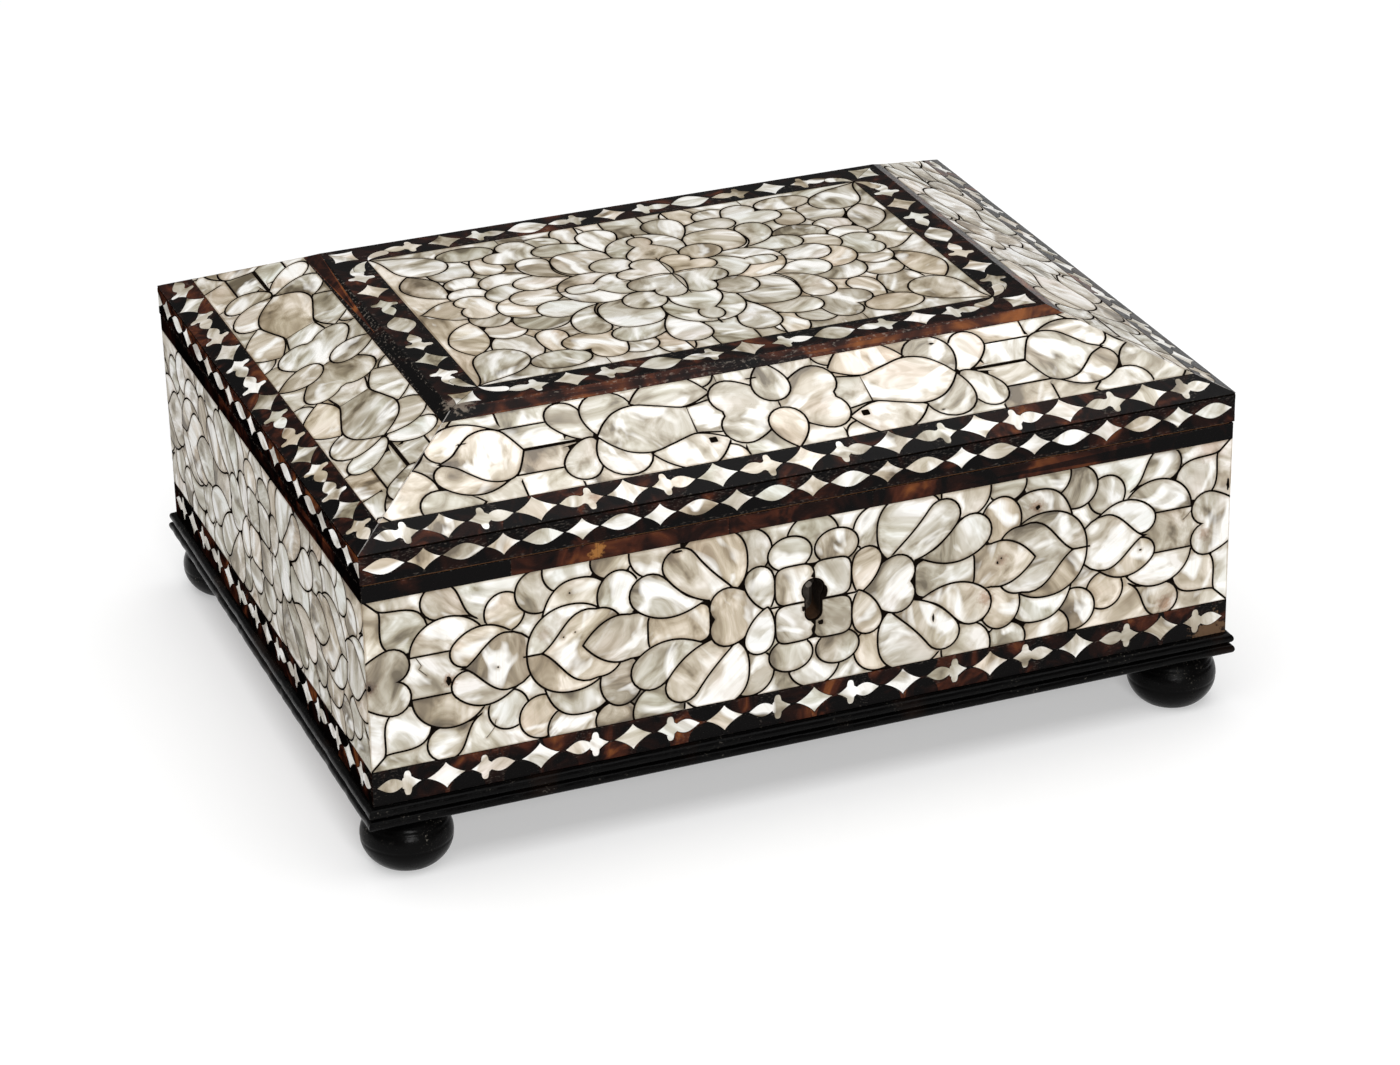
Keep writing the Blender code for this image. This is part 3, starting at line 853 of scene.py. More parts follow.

# Marks in the shell: place in metres, radius, colour, strength. The first is a brown place of wear; the
# second a pale patch high on the lid at the front left, and the third an amber patch.
SHELL_MARKS = [
    ((0.206, -0.168, 0.041), 0.0090, (0.120, 0.070, 0.038), 0.85),
    ((-0.143, -0.098, 0.195), 0.0075, (0.360, 0.300, 0.240), 0.40),
    ((-0.104, -0.168, 0.144), 0.0040, (0.300, 0.130, 0.035), 0.90),
]


class Nodes:
    """Short calls for building one material."""

    def __init__(self, name):
        self.material = bpy.data.materials.new(name)
        self.material.use_nodes = True
        self.tree = self.material.node_tree
        self.shader = self.tree.nodes["Principled BSDF"]

    def add(self, kind, **settings):
        node = self.tree.nodes.new(kind)
        for key, value in settings.items():
            setattr(node, key, value)
        return node

    def feed(self, socket, value):
        """Links another node's output to the socket, or sets its value."""
        if isinstance(value, bpy.types.NodeSocket):
            self.tree.links.new(value, socket)
        else:
            socket.default_value = value

    def set(self, node, **inputs):
        for key, value in inputs.items():
            self.feed(node.inputs[key.replace("_", " ")], value)
        return node

    def finish(self, **inputs):
        """Sets the shader's own inputs and gives back the material."""
        self.set(self.shader, **inputs)
        return self.material

    def math(self, operation, a, b=0.0):
        node = self.add("ShaderNodeMath", operation=operation)
        self.feed(node.inputs[0], a)
        self.feed(node.inputs[1], b)
        return node.outputs[0]

    def times(self, a, b):
        return self.math("MULTIPLY", a, b)

    def swing(self, value, strength):
        """A value about a half, turned into one about nothing."""
        return self.times(self.math("SUBTRACT", value, 0.5), strength)

    def vector(self, operation, a, b):
        node = self.add("ShaderNodeVectorMath", operation=operation)
        self.feed(node.inputs[0], a)
        self.feed(node.inputs[1], b)
        return node.outputs["Value" if operation in ("DOT_PRODUCT", "DISTANCE") else "Vector"]

    def attribute(self, name, output="Fac"):
        return self.add("ShaderNodeAttribute", attribute_name=name).outputs[output]

    def combine(self, x, y, z):
        return self.set(self.add("ShaderNodeCombineXYZ"), X=x, Y=y, Z=z).outputs[0]

    def axes(self):
        return self.set(self.add("ShaderNodeSeparateXYZ"), Vector=self.place()).outputs

    def place(self):
        return self.add("ShaderNodeTexCoord").outputs["Object"]

    def noise(self, vector, scale, detail=3.0, roughness=0.5, distortion=0.0):
        node = self.add("ShaderNodeTexNoise")
        self.set(node, Vector=vector, Scale=scale, Detail=detail, Roughness=roughness, Distortion=distortion)
        return node.outputs["Fac"]

    def ramp(self, value, stops):
        node = self.add("ShaderNodeValToRGB")
        elements = node.color_ramp.elements
        while len(elements) > 1:
            elements.remove(elements[-1])
        elements[0].position = stops[0][0]
        elements[0].color = (*stops[0][1], 1.0)
        for position, colour in stops[1:]:
            elements.new(position).color = (*colour, 1.0)
        return self.set(node, Fac=value).outputs["Color"]

    def mix(self, factor, a, b, blend="MIX"):
        node = self.add("ShaderNodeMix", data_type="RGBA", blend_type=blend)
        for socket, value in ((node.inputs[0], factor), (node.inputs[6], a), (node.inputs[7], b)):
            self.feed(socket, (*value, 1.0) if isinstance(value, tuple) else value)
        return node.outputs[2]

    def spread(self, value, low, high, to_low=0.0, to_high=1.0):
        node = self.add("ShaderNodeMapRange", clamp=True)
        names = ("Value", "From Min", "From Max", "To Min", "To Max")
        for key, given in zip(names, (value, low, high, to_low, to_high)):
            self.feed(node.inputs[key], given)
        return node.outputs[0]

    def tint(self, body, value, low, high, strength, colour):
        """Multiplies the body by a colour as the value goes from low to high."""
        return self.mix(self.spread(value, low, high, 0.0, strength), body, colour, "MULTIPLY")

    def bump(self, height, strength, distance):
        node = self.add("ShaderNodeBump")
        return self.set(node, Height=height, Strength=strength, Distance=distance).outputs["Normal"]


# Colours of the pearl from its darkest cloud to its brightest, and what tints it
PEARL_STOPS = [
    (0.00, (0.105, 0.078, 0.042)),
    (0.25, (0.262, 0.220, 0.150)),
    (0.50, (0.440, 0.400, 0.320)),
    (0.75, (0.600, 0.570, 0.505)),
    (1.00, (0.800, 0.790, 0.765)),
]
PEARL_MIDDLE = 0.58
# Painted sheen: the white of the nacre's bright flares
PEARL_PAINTED_SHEEN = (0.93, 0.92, 0.89)
PINK, GREEN = (1.0, 0.90, 0.86), (0.94, 0.98, 0.90)
WARM, COOL = (1.0, 0.86, 0.70), (0.93, 0.97, 0.92)
GROWTH_LINE = (0.72, 0.66, 0.56)
# Painted shade near each tile's rim, as on a domed tile
PAINTED_RIM_SHADE = (0.50, 0.42, 0.32)
BROWN_STAIN = (0.42, 0.23, 0.10)
CRACK_FILLER = (0.66, 0.63, 0.60)

# Colours of the shell from black over red-brown to amber, and of the pale scratches on its edges, partly
# wear and partly painted highlights
SHELL_STOPS = [
    (0.46, (0.0014, 0.0010, 0.0010)),
    (0.58, (0.011, 0.0035, 0.0024)),
    (0.69, (0.052, 0.0140, 0.0068)),
    (0.86, (0.200, 0.0640, 0.0180)),
]
SHELL_WEAR_AND_GLINT = (0.42, 0.36, 0.30)

# Colours of the ebony: black, the pale of its scratches (partly wear, partly painted highlights) and a brown
EBONY_BLACK, EBONY_WEAR_AND_GLINT, EBONY_BROWN = (0.0012, 0.0011, 0.0011), (0.20, 0.18, 0.15), (0.016, 0.007, 0.004)
CEDAR_COLOUR = (0.175, 0.082, 0.037)
# Painted shade: the dark colour that the cedar takes round the keyhole and under the floor
PAINTED_SHADE_COLOUR = (0.014, 0.009, 0.006)

# Fade of the painted shade in metres: by the distance from the keyhole, and by the level under the floor
KEYHOLE_SHADE_FADE = (0.013, 0.024)
UNDERSIDE_SHADE_FADE = (0.0268, 0.0276)

# Streaks of plain materials: how far they leave the colour, and their scale along each axis
STREAK_CONTRAST = 0.35
ALONG, ACROSS, EVEN = (30, 300, 300), (300, 30, 300), (300, 300, 300)


def mitre_crack(n):
    """1 along the fine broken cracks where the four slopes of the lid meet, 0 elsewhere."""
    axes = n.axes()
    across = n.math("SUBTRACT", n.math("ABSOLUTE", axes["X"]), n.math("ABSOLUTE", axes["Y"]))
    off_mitre = n.math("ABSOLUTE", n.math("SUBTRACT", across, LID_X - LID_Y))
    crack_line = n.spread(off_mitre, 0.00020, 0.00040, 1.0, 0.0)
    above = n.math("GREATER_THAN", axes["Z"], RIM_TOP - 0.0003)
    below = n.math("LESS_THAN", axes["Z"], LID_TOP - 0.0006)
    broken = n.spread(n.noise(n.place(), 150.0, 2.0), 0.40, 0.50)
    return n.times(n.times(crack_line, broken), n.times(above, below))


def make_pearl(name, gloss, coat, painted_lift):
    """Mother-of-pearl: clouds and flares of painted sheen that run with each tile's grain, each tile with
    its own tone.
    """
    n = Nodes(name)
    local = n.vector("SUBTRACT", n.place(), n.attribute("middle", "Vector"))
    grain = n.attribute("grain", "Vector")
    across = n.vector("CROSS_PRODUCT", grain, n.add("ShaderNodeNewGeometry").outputs["True Normal"])
    warmth = n.attribute("warmth")
    along_way = n.vector("DOT_PRODUCT", local, grain)
    across_way = n.vector("DOT_PRODUCT", local, across)
    layer = n.times(n.attribute("seed"), 40.0)
    cloud_place = n.combine(n.times(along_way, 38.0), n.times(across_way, 70.0), layer)
    clouds = n.noise(cloud_place, 1.0, 3.0, 0.52, 1.1)
    # Painted sheen: bright white flares of the nacre's lustre
    painted_sheen = n.noise(n.vector("ADD", cloud_place, (11.0, 5.0, 3.0)), 0.7, 2.0, 0.45, 1.5)
    # Painted shade: each tile lighter on one side and darker on the other, across its grain, as light falls
    # on a domed tile
    lean = n.math("DIVIDE", across_way, n.attribute("size"))
    value = n.math("ADD", n.swing(clouds, 2.5), n.swing(n.attribute("tone"), 0.40))
    value = n.math("ADD", value, n.times(lean, 0.16))
    # A lift of the colour as painted light, used to brighten the side walls' copy
    body = n.ramp(n.math("ADD", value, PEARL_MIDDLE + painted_lift), PEARL_STOPS)
    hue = n.noise(n.vector("ADD", cloud_place, (3.0, 17.0, 9.0)), 0.6, 1.0)
    body = n.tint(body, hue, 0.54, 0.70, 0.55, PINK)
    body = n.tint(body, hue, 0.46, 0.30, 0.40, GREEN)
    body = n.tint(body, warmth, 0.5, 1.0, 0.7, WARM)
    body = n.tint(body, warmth, 0.35, 0.0, 0.5, COOL)
    body = n.mix(n.spread(painted_sheen, 0.54, 0.66, 0.0, 0.9), body, PEARL_PAINTED_SHEEN)
    growth_place = n.combine(n.times(along_way, 18.0), n.times(across_way, 620.0), layer)
    growth = n.noise(growth_place, 1.0, 2.0, 0.5, 0.6)
    body = n.tint(body, growth, 0.50, 0.30, 0.25, GROWTH_LINE)
    # Painted shade: each tile darker near its rim
    body = n.tint(body, n.attribute("edge"), 0.35, 1.0, 0.75, PAINTED_RIM_SHADE)
    for place, radius, strength in STAINS:
        away = n.vector("DISTANCE", n.place(), place)
        ragged = n.math("ADD", away, n.swing(n.noise(n.place(), 700.0), 0.006))
        body = n.tint(body, ragged, radius, radius * 0.3, strength, BROWN_STAIN)
    height = n.math("ADD", clouds, n.times(growth, 0.03))
    return n.finish(
        Base_Color=n.mix(mitre_crack(n), body, CRACK_FILLER),
        Roughness=n.spread(clouds, 0.35, 0.65, 0.34, 0.19),
        Normal=n.bump(height, 0.45, 0.0016),
        Specular_IOR_Level=gloss,
        Coat_Weight=coat,
        Coat_Roughness=0.10,
    )


def make_shell(name, scale=55.0, wear=0.10, gloss=0.06):
    """Tortoiseshell: near-black with deep red-brown clouds and a little amber."""
    n = Nodes(name)
    place = n.place()
    clouds = n.noise(place, scale, 3.0, 0.6, 0.8)
    colour = n.ramp(n.math("ADD", clouds, n.swing(n.attribute("tone"), 0.26)), SHELL_STOPS)
    for mark_place, radius, mark, strength in SHELL_MARKS:
        ragged = n.swing(n.noise(place, 420.0, 4.0, 0.65), 3.0 * radius)
        away = n.math("ADD", n.vector("DISTANCE", place, mark_place), ragged)
        colour = n.mix(n.spread(away, radius, radius * 0.6, 0.0, strength), colour, mark)
    colour = n.mix(n.times(mitre_crack(n), 0.6), colour, CRACK_FILLER)
    scratches = n.noise(n.vector("MULTIPLY", place, (1.0, 1.0, 3.0)), 500.0, 3.0, 0.6)
    # Pale scratches along the rims: partly wear, partly painted highlights on the arrises
    worn_and_glinting = n.times(n.spread(n.attribute("edge"), 0.90, 1.0), n.spread(scratches, 0.56, 0.66))
    return n.finish(
        Base_Color=n.mix(n.times(worn_and_glinting, wear), colour, SHELL_WEAR_AND_GLINT),
        Roughness=n.spread(scratches, 0.3, 0.75, 0.14, 0.36),
        Normal=n.bump(n.noise(place, 170.0, 2.0), 0.16, 0.0007),
        Specular_IOR_Level=gloss,
    )


def make_ebony():
    """Blackened wood: fine pale scratches in patches, partly wear and partly painted highlights, and a
    patchy polish.
    """
    n = Nodes("ebonised_wood_black")
    place = n.place()
    patches = n.noise(place, 70.0, 3.0, 0.6)
    # Pale specks: partly scratches, partly painted highlights
    scratch_specks_and_glints = n.times(n.spread(n.noise(place, 900.0, 4.0, 0.7), 0.60, 0.70), n.spread(patches, 0.52, 0.62))
    colour = n.mix(n.times(scratch_specks_and_glints, 0.70), EBONY_BLACK, EBONY_WEAR_AND_GLINT)
    brown = n.spread(n.noise(place, 34.0, 2.0), 0.60, 0.78, 0.0, 0.5)
    return n.finish(
        Base_Color=n.mix(brown, colour, EBONY_BROWN),
        Roughness=n.spread(patches, 0.35, 0.65, 0.16, 0.40),
        Normal=n.bump(n.noise(place, 260.0, 4.0, 0.65), 0.30, 0.0006),
        Specular_IOR_Level=0.06,
    )


def make_plain(name, colour, roughness, grain, specular, metallic=0.0, painted_shade=False):
    """Wood, metal or mastic: streaks along one axis over a plain colour, with painted shade where it is
    asked for.

    The painted shade darkens the wood round the keyhole's recess and on the underside of the floor, where
    shade falls.
    """
    n = Nodes(name)
    streaks = n.noise(n.vector("MULTIPLY", n.place(), grain), 1.0, 4.0, 0.6, 0.2)
    dark = tuple(c * (1 - STREAK_CONTRAST) for c in colour)
    light = tuple(c * (1 + STREAK_CONTRAST) for c in colour)
    colours = n.ramp(streaks, [(0.3, dark), (0.7, light)])
    # Painted shade: dark round the keyhole and under the floor, where the wood lies in shade
    if painted_shade:
        from_keyhole = n.vector("DISTANCE", n.place(), (0.0, -CASE_Y, KEYHOLE_Z * MM))
        near_keyhole = n.spread(from_keyhole, *KEYHOLE_SHADE_FADE, 1.0, 0.0)
        underside = n.spread(n.axes()["Z"], *UNDERSIDE_SHADE_FADE, 1.0, 0.0)
        colours = n.mix(n.math("MAXIMUM", near_keyhole, underside), colours, PAINTED_SHADE_COLOUR)
    return n.finish(
        Base_Color=colours,
        Roughness=n.spread(streaks, 0.2, 0.8, roughness * 0.8, roughness * 1.25),
        Normal=n.bump(streaks, 0.15, 0.0005),
        Specular_IOR_Level=specular,
        Metallic=metallic,
    )


PEARL = make_pearl("pearl_tiles", 0.7, 0.2, 0.0)
# The side walls' copy: little gloss, and its colour lifted a little as painted light
PEARL_SIDE = make_pearl("pearl_tiles_of_side_walls", 0.08, 0.0, 0.02)
SHELL = make_shell("tortoiseshell_scales")
SHELL_DULL = make_shell("tortoiseshell_scales_dull", gloss=0.0)
SHELL_STRIP = make_shell("tortoiseshell_strips", 40.0, 0.25)
SHELL_STRIP_DULL = make_shell("tortoiseshell_strips_dull", 40.0, 0.25, 0.0)
MASTIC = make_plain("dark_mastic", (0.0050, 0.0034, 0.0025), 0.75, EVEN, 0.0)
EBONY = make_ebony()
# The cedar carries painted shade round the keyhole and under the floor
CEDAR = make_plain("cedar_wood", CEDAR_COLOUR, 0.6, ALONG, 0.2, painted_shade=True)
CEDAR_CROSSWAYS = make_plain("cedar_wood_crossways", CEDAR_COLOUR, 0.6, ACROSS, 0.2)
IRON = make_plain("dull_iron", (0.16, 0.14, 0.12), 0.45, (200, 200, 200), 0.4, metallic=0.85)


# Pearl panels

# Wear of the front in millimetres: chips (place, half sizes), cracks and nail marks
FRONT_CHIPS = [
    (5.9, 101.5, 1.3, 3.2),
    (-4.9, 95.0, 0.9, 1.6),
    (3.6, 86.5, 1.6, 1.2),
    (-176.2, 94.2, 1.5, 2.6),
    (-213.2, 97.6, 0.9, 1.8),
    (113.4, 123.6, 1.3, 1.2),
    (93.0, 99.0, 0.6, 0.9),
    (95.0, 101.0, 0.5, 0.6),
    (-118.0, 126.0, 0.5, 0.5),
    (-116.0, 106.0, 0.45, 0.45),
    (-121.5, 104.5, 0.45, 0.45),
    (-153.0, 96.0, 0.5, 0.5),
    (-66.0, 136.2, 2.6, 0.7),
    (60.3, 77.0, 0.6, 2.2),
    (167.5, 91.0, 0.9, 0.6),
    (213.0, 116.5, 0.9, 3.6),
]
FRONT_CRACKS = [
    [(-191.0, 108.5), (-188.6, 104.2), (-190.0, 102.6), (-186.4, 98.8)],
    [(189.5, 102.5), (192.0, 104.5), (194.5, 107.5)],
    [(-160.0, 61.5), (-156.0, 66.0), (-155.0, 70.0)],
]
SLOPE_CHIPS = [
    (-150.5, 52.0, 2.6, 0.5),
    (74.0, 22.0, 1.0, 0.5),
    (-7.5, 60.5, 3.4, 0.5),
    (84.0, 62.0, 1.6, 0.7),
]
CHIP_SIDES = 14
CHIP_REACH = (0.72, 1.15)
NAIL_MARKS = [(-37.6, 28.6), (37.4, 28.4)]
NAIL_HALF_SIZES = (1.9, 1.7)
CRACK_WIDTH = 0.35


def keyhole_outline(grow=0.0):
    """Round head over a slot with a rounded foot, in the front panel's millimetres."""
    head, slot = KEYHOLE_HEAD + grow, KEYHOLE_SLOT + grow
    foot_z = KEYHOLE_Z + KEYHOLE_HEAD - KEYHOLE_HEIGHT + KEYHOLE_SLOT
    shoulder = math.asin(slot / head)
    points = []
    for i in range(21):
        angle = -math.pi / 2 + shoulder + (2 * math.pi - 2 * shoulder) * i / 20
        points.append((head * math.cos(angle), KEYHOLE_Z + head * math.sin(angle)))
    for i in range(11):
        angle = math.pi + math.pi * i / 10
        points.append((slot * math.cos(angle), foot_z + slot * math.sin(angle)))
    return points


def ragged_hole(x, y, half_x, half_y, rng):
    """A small chip with an uneven rim."""
    points = []
    for i in range(CHIP_SIDES):
        angle = 2 * math.pi * i / CHIP_SIDES
        reach = rng.uniform(*CHIP_REACH)
        points.append((x + half_x * reach * math.cos(angle), y + half_y * reach * math.sin(angle)))
    return points


def crack(points):
    """A thin broken line through the given points."""
    stretches = [(*a, *b) for a, b in zip(points, points[1:])]
    return cut(*stretches, width=CRACK_WIDTH)["shapes"]


def wear_on(name):
    """Chips, cracks, pin holes and square nail marks that the front shows, in its own millimetres."""
    rng = random.Random(WEAR_SEED)
    if name == "wall_front":
        shapes = [ragged_hole(x, t, a, b, rng) for x, t, a, b in FRONT_CHIPS]
        for points in FRONT_CRACKS:
            shapes += crack(points)
        return shapes
    if name == "slope_front":
        shapes = [blob(x, t, *NAIL_HALF_SIZES, 6) for x, t in NAIL_MARKS]
        shapes += [ragged_hole(x, t, a, b, rng) for x, t, a, b in SLOPE_CHIPS]
        return shapes
    return []


def pearl_panel(panel, layout, node, seed, centre, squeeze=1.0, keyhole=False):
    rng = random.Random(seed)
    tiles = laid(layout, rng, True, centre, squeeze)
    tiles.append(line_entry(wear_on(panel.name)))
    holes = []
    if keyhole:
        holes = [keyhole_outline()]
        tiles.append(line_entry([keyhole_outline(KEYHOLE_WEAR)]))
    pearl = TileMesh()
    lay_mosaic(panel, tiles, rng, PEARL_GRID, pearl, pearl)
    pearl_kind = PEARL_SIDE if panel.name in ("wall_left", "wall_right") else PEARL
    pearl.build(f"{panel.name}_tiles", pearl_kind, panel.body, "mother_of_pearl", [node])
    mastic_bed(panel, holes)


def build_pearl():
    for number, side in enumerate(SIDES):
        wall = upright_panel(f"wall_{side}", side, "case", "case_pearl_field_front", CASE_HALF)
        node = f"case_pearl_field_{side}"
        pearl_panel(wall, WALL, node, WALL_SEED + number, (0, WALL_MIDDLE), keyhole=side == "front")
        first_t = math.hypot(LID_Y - SLOPE_OUTER[0], SLOPE_OUTER[1] - RIM_TOP) / MM
        slope = side_panel(f"slope_{side}", side, "lid", SLOPE_OUTER, SLOPE_INNER, LID_HALF, first_t)
        node = f"lid_pearl_slope_{side}"
        pearl_panel(slope, SLOPE, node, SLOPE_SEED + number, (0, SLOPE_MIDDLE))
    low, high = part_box("lid_pearl_top")
    corners = [(low.x, low.y), (high.x, low.y), (high.x, high.y), (low.x, high.y)]
    outline = [(x / MM, y / MM) for x, y in corners]
    top = Panel("lid_top", "lid", Vector((0, 0, high.z)), Vector((1, 0, 0)), Vector((0, 1, 0)), outline)
    pearl_panel(top, TOP, "lid_pearl_top", TOP_SEED, TOP_CENTRE, TOP_SQUEEZE)


# Inlaid bands

# Rows of stars on the long and the short sides: count and pitch
ROWS = {
    "lower": ((9, 44.9), (5, 66.6)),
    "slope": ((9, 43.2), (5, 64.2)),
    "rim": ((11, 37.0), (9, 37.9)),
}
# Scales (offset, half height, radius) and stars with fleurs (half sizes, gap, size of the lobes)
SCALES = {"lower": (9.6, 8.9, 8.4), "slope": (9.9, 8.2, 8.1)}
STARS = {"lower": (9.5, 6.8, 2.0, 6.3), "slope": (10.3, 7.5, 0.9, 6.5)}
RIM_STAR = (8.3, 5.6)
RIM_OVAL = (9.9, 4.0)
RIM_OVAL_OFFSET = 18.5
LAST_RIM_OVAL = 206

# Motifs of the top border's long and short sides, from the middle outwards: kind, place, and the way
# from there to a fleur's tip
LONG_BORDER = [
    ("fleur", 11.5, 1), ("oval", 43.5, 0), ("fleur", 76.2, -1),
    ("star", 87.0, 0), ("fleur", 97.8, 1),
]
SHORT_BORDER = [("fleur", 33.5, -1), ("star", 45.0, 0), ("fleur", 56.0, 1)]
BORDER_STAR = (9.0, 8.4)
BORDER_OVAL = (10.6, 7.0)
BORDER_LOBE = 6.8
CORNER_STAR = (9.0, 9.0, 45)
COMMA_LENGTH = 10.0
COMMA_RADIUS = 2.9
COMMA_BEND = -0.25
COMMA_HEAD_T, COMMA_TAIL_T = 2.2, 9.3


def alternating(count, pitch):
    """Places of `count` motifs, `pitch` apart, about the middle."""
    return [(i - (count - 1) / 2) * pitch for i in range(count)]


def band_tiles(side, kind):
    """The scales and motifs of one band, with the middle line at t = 0."""
    wide = side in LONG_SIDES
    stars = alternating(*ROWS[kind][0 if wide else 1])
    if kind != "rim":
        return scales(stars, *SCALES[kind]) + runs(stars, wide, *STARS[kind])
    ovals = sorted({round(x + way * RIM_OVAL_OFFSET, 3) for x in stars for way in (-1, 1)})
    ovals = [x for x in ovals if abs(x) < LAST_RIM_OVAL]
    return [star(x, *RIM_STAR) for x in stars] + [oval(x, *RIM_OVAL) for x in ovals]


def runs(stars, wide, half_x, half_y, reach, lobe):
    """Stars with fleurs: leaves meet between the groups on the short sides, and stars on the long ones."""
    motifs = [star(x, half_x, half_y) for x in stars]
    for index, x in enumerate(stars):
        if wide and (index - len(stars) // 2) % 2:
            continue
        for way in (-1, 1):
            motifs.append(fleur(x + way * (half_x + reach + FLEUR_LENGTH), -way, lobe))
    return motifs


def is_side_wall(name):
    """True for the upright bands and strips of the short sides, whose shell is matt."""
    return name.startswith(("lower_band", "rim_band", "upper_strip")) and name.endswith(("left", "right"))


def band(panel, tiles, node, seed, middle_t):
    rng = random.Random(seed)
    placed = laid(tiles, rng, False, (0, middle_t))
    pearl, shell = TileMesh(), TileMesh()
    lay_mosaic(panel, placed, rng, SHELL_GRID, pearl, shell, "shell")
    pearl.build(f"{panel.name}_inlay", PEARL, panel.body, "mother_of_pearl")
    shell_kind = SHELL_DULL if is_side_wall(panel.name) else SHELL
    shell.build(f"{panel.name}_shell", shell_kind, panel.body, "tortoiseshell", [node])
    mastic_bed(panel)


def build_bands():
    for number, side in enumerate(SIDES):
        lower = upright_panel(f"lower_band_{side}", side, "case", "case_lower_band_front", CASE_HALF)
        node = f"case_lower_band_{side}"
        band(lower, band_tiles(side, "lower"), node, LOWER_BAND_SEED + number, LOWER_BAND_MIDDLE)
        rim = upright_panel(f"rim_band_{side}", side, "lid", "lid_rim_band_front", LID_HALF)
        node = f"lid_rim_band_{side}"
        band(rim, band_tiles(side, "rim"), node, RIM_BAND_SEED + number, RIM_BAND_MIDDLE)
        slope = side_panel(f"slope_band_{side}", side, "lid", (LID_Y, RIM_TOP), BAND_INNER, LID_HALF, 0.0)
        node = f"lid_slope_band_{side}"
        band(slope, band_tiles(side, "slope"), node, SLOPE_BAND_SEED + number, SLOPE_BAND_MIDDLE)


# A segment's middle and half width across the strip, wider than any strip, and a power that squares it
SEGMENT_T = 8
SEGMENT_REACH = 40
SQUARE = 60


def strip(name, side, body, outer, inner, half, node, segments, seed):
    """A plain tortoiseshell strip in butt-jointed segments (first place, last place, tone)."""
    panel = side_panel(name, side, body, outer, inner, half, 0.0)
    rng = random.Random(seed)
    tiles = []
    for first, last, tone in segments:
        middle, reach = (first + last) / 2, (last - first) / 2
        shape = blob(middle, SEGMENT_T, reach, SEGMENT_REACH, SQUARE)
        tiles.append(tile(shape, kind="shell", tone=tone))
    placed = laid(tiles, rng, False, (0, 0))
    shell = TileMesh()
    lay_mosaic(panel, placed, rng, SHELL_GRID, shell, shell, "shell")
    shell_kind = SHELL_STRIP_DULL if is_side_wall(name) else SHELL_STRIP
    shell.build(name, shell_kind, body, "tortoiseshell", [node])


# Segments of the strip under the seam and of the fillet: first place, last place and tone
UPPER_STRIPS = {
    "front": [
        (-230, -145, 0.2), (-145, -104, 1.1), (-104, -41, 0.85),
        (-41, 30, 0.5), (30, 120, 0.75), (120, 230, 0.3),
    ],
    "left": [(-230, -60, 0.3), (-60, 70, 0.7), (70, 230, 0.4)],
    "right": [(-230, 10, 0.6), (10, 230, 0.3)],
    "back": [(-230, -30, 0.5), (-30, 90, 0.8), (90, 230, 0.4)],
}
FILLETS = {
    "front": [(-230, -96, 0.7), (-96, -10, 0.9), (-10, 48, 1.05), (48, 104, 1.3), (104, 230, 1.4)],
    "left": [(-230, -55, 0.9), (-55, -20, 1.4), (-20, 40, 0.2), (40, 230, 0.1)],
    "right": [(-230, -20, 1.0), (-20, 230, 0.8)],
    "back": [(-230, 40, 0.7), (40, 230, 1.0)],
}


def build_strips():
    fillet_outer = (section("lid_fillet_front")[0][0], SLOPE_INNER[1])
    fillet_inner = (section("lid_top_border_front")[0][0], LID_TOP)
    low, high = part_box("case_upper_strip_front")
    for number, side in enumerate(SIDES):
        strip(
            f"upper_strip_{side}", side, "case", (CASE_Y, low.z), (CASE_Y, high.z), CASE_HALF,
            f"case_upper_strip_{side}", UPPER_STRIPS[side], UPPER_STRIP_SEED + number,
        )
        strip(
            f"fillet_{side}", side, "lid", fillet_outer, fillet_inner, LID_HALF,
            f"lid_fillet_{side}", FILLETS[side], FILLET_SEED + number,
        )


def build_top_border():
    outer, inner = section("lid_top_border_front")
    edges = (outer[0], LID_TOP), (inner[0], LID_TOP)
    for number, side in enumerate(SIDES):
        wide = side in LONG_SIDES
        panel = side_panel(f"top_border_{side}", side, "lid", *edges, LID_HALF, 0.0)
        half_length = ((LID_X if wide else LID_Y) - (LID_Y - outer[0])) / MM
        inner_corner = half_length - 2 * BORDER_MIDDLE
        tiles = []
        for way in (-1, 1):
            for motif, x, outwards in LONG_BORDER if wide else SHORT_BORDER:
                if motif == "oval":
                    tiles.append(big_oval(way * x, *BORDER_OVAL))
                elif motif == "star":
                    tiles.append(star(way * x, *BORDER_STAR))
                else:
                    tip = x + outwards * FLEUR_LENGTH
                    tiles.append(fleur(way * tip, -way * outwards, BORDER_LOBE))
            tiles.append(star(way * (half_length - BORDER_MIDDLE), *CORNER_STAR))
            head, tail = way * (inner_corner - COMMA_LENGTH), way * inner_corner
            comma = (head, COMMA_HEAD_T, COMMA_RADIUS, tail, COMMA_TAIL_T, way * COMMA_BEND, 1.1)
            tiles.append(petal_tile(*comma))
        tiles.append(star(0, *BORDER_STAR) if wide else big_oval(0, *BORDER_OVAL))
        band(panel, tiles, f"lid_top_border_{side}", BORDER_SEED + number, BORDER_MIDDLE)


# Turned and moulded wood

def place_ebony(name, points, faces, node):
    mesh = bpy.data.meshes.new(name)
    mesh.from_pydata(points, [], faces)
    smooth(mesh, EBONY)
    place_piece(name, mesh, "case", [node])


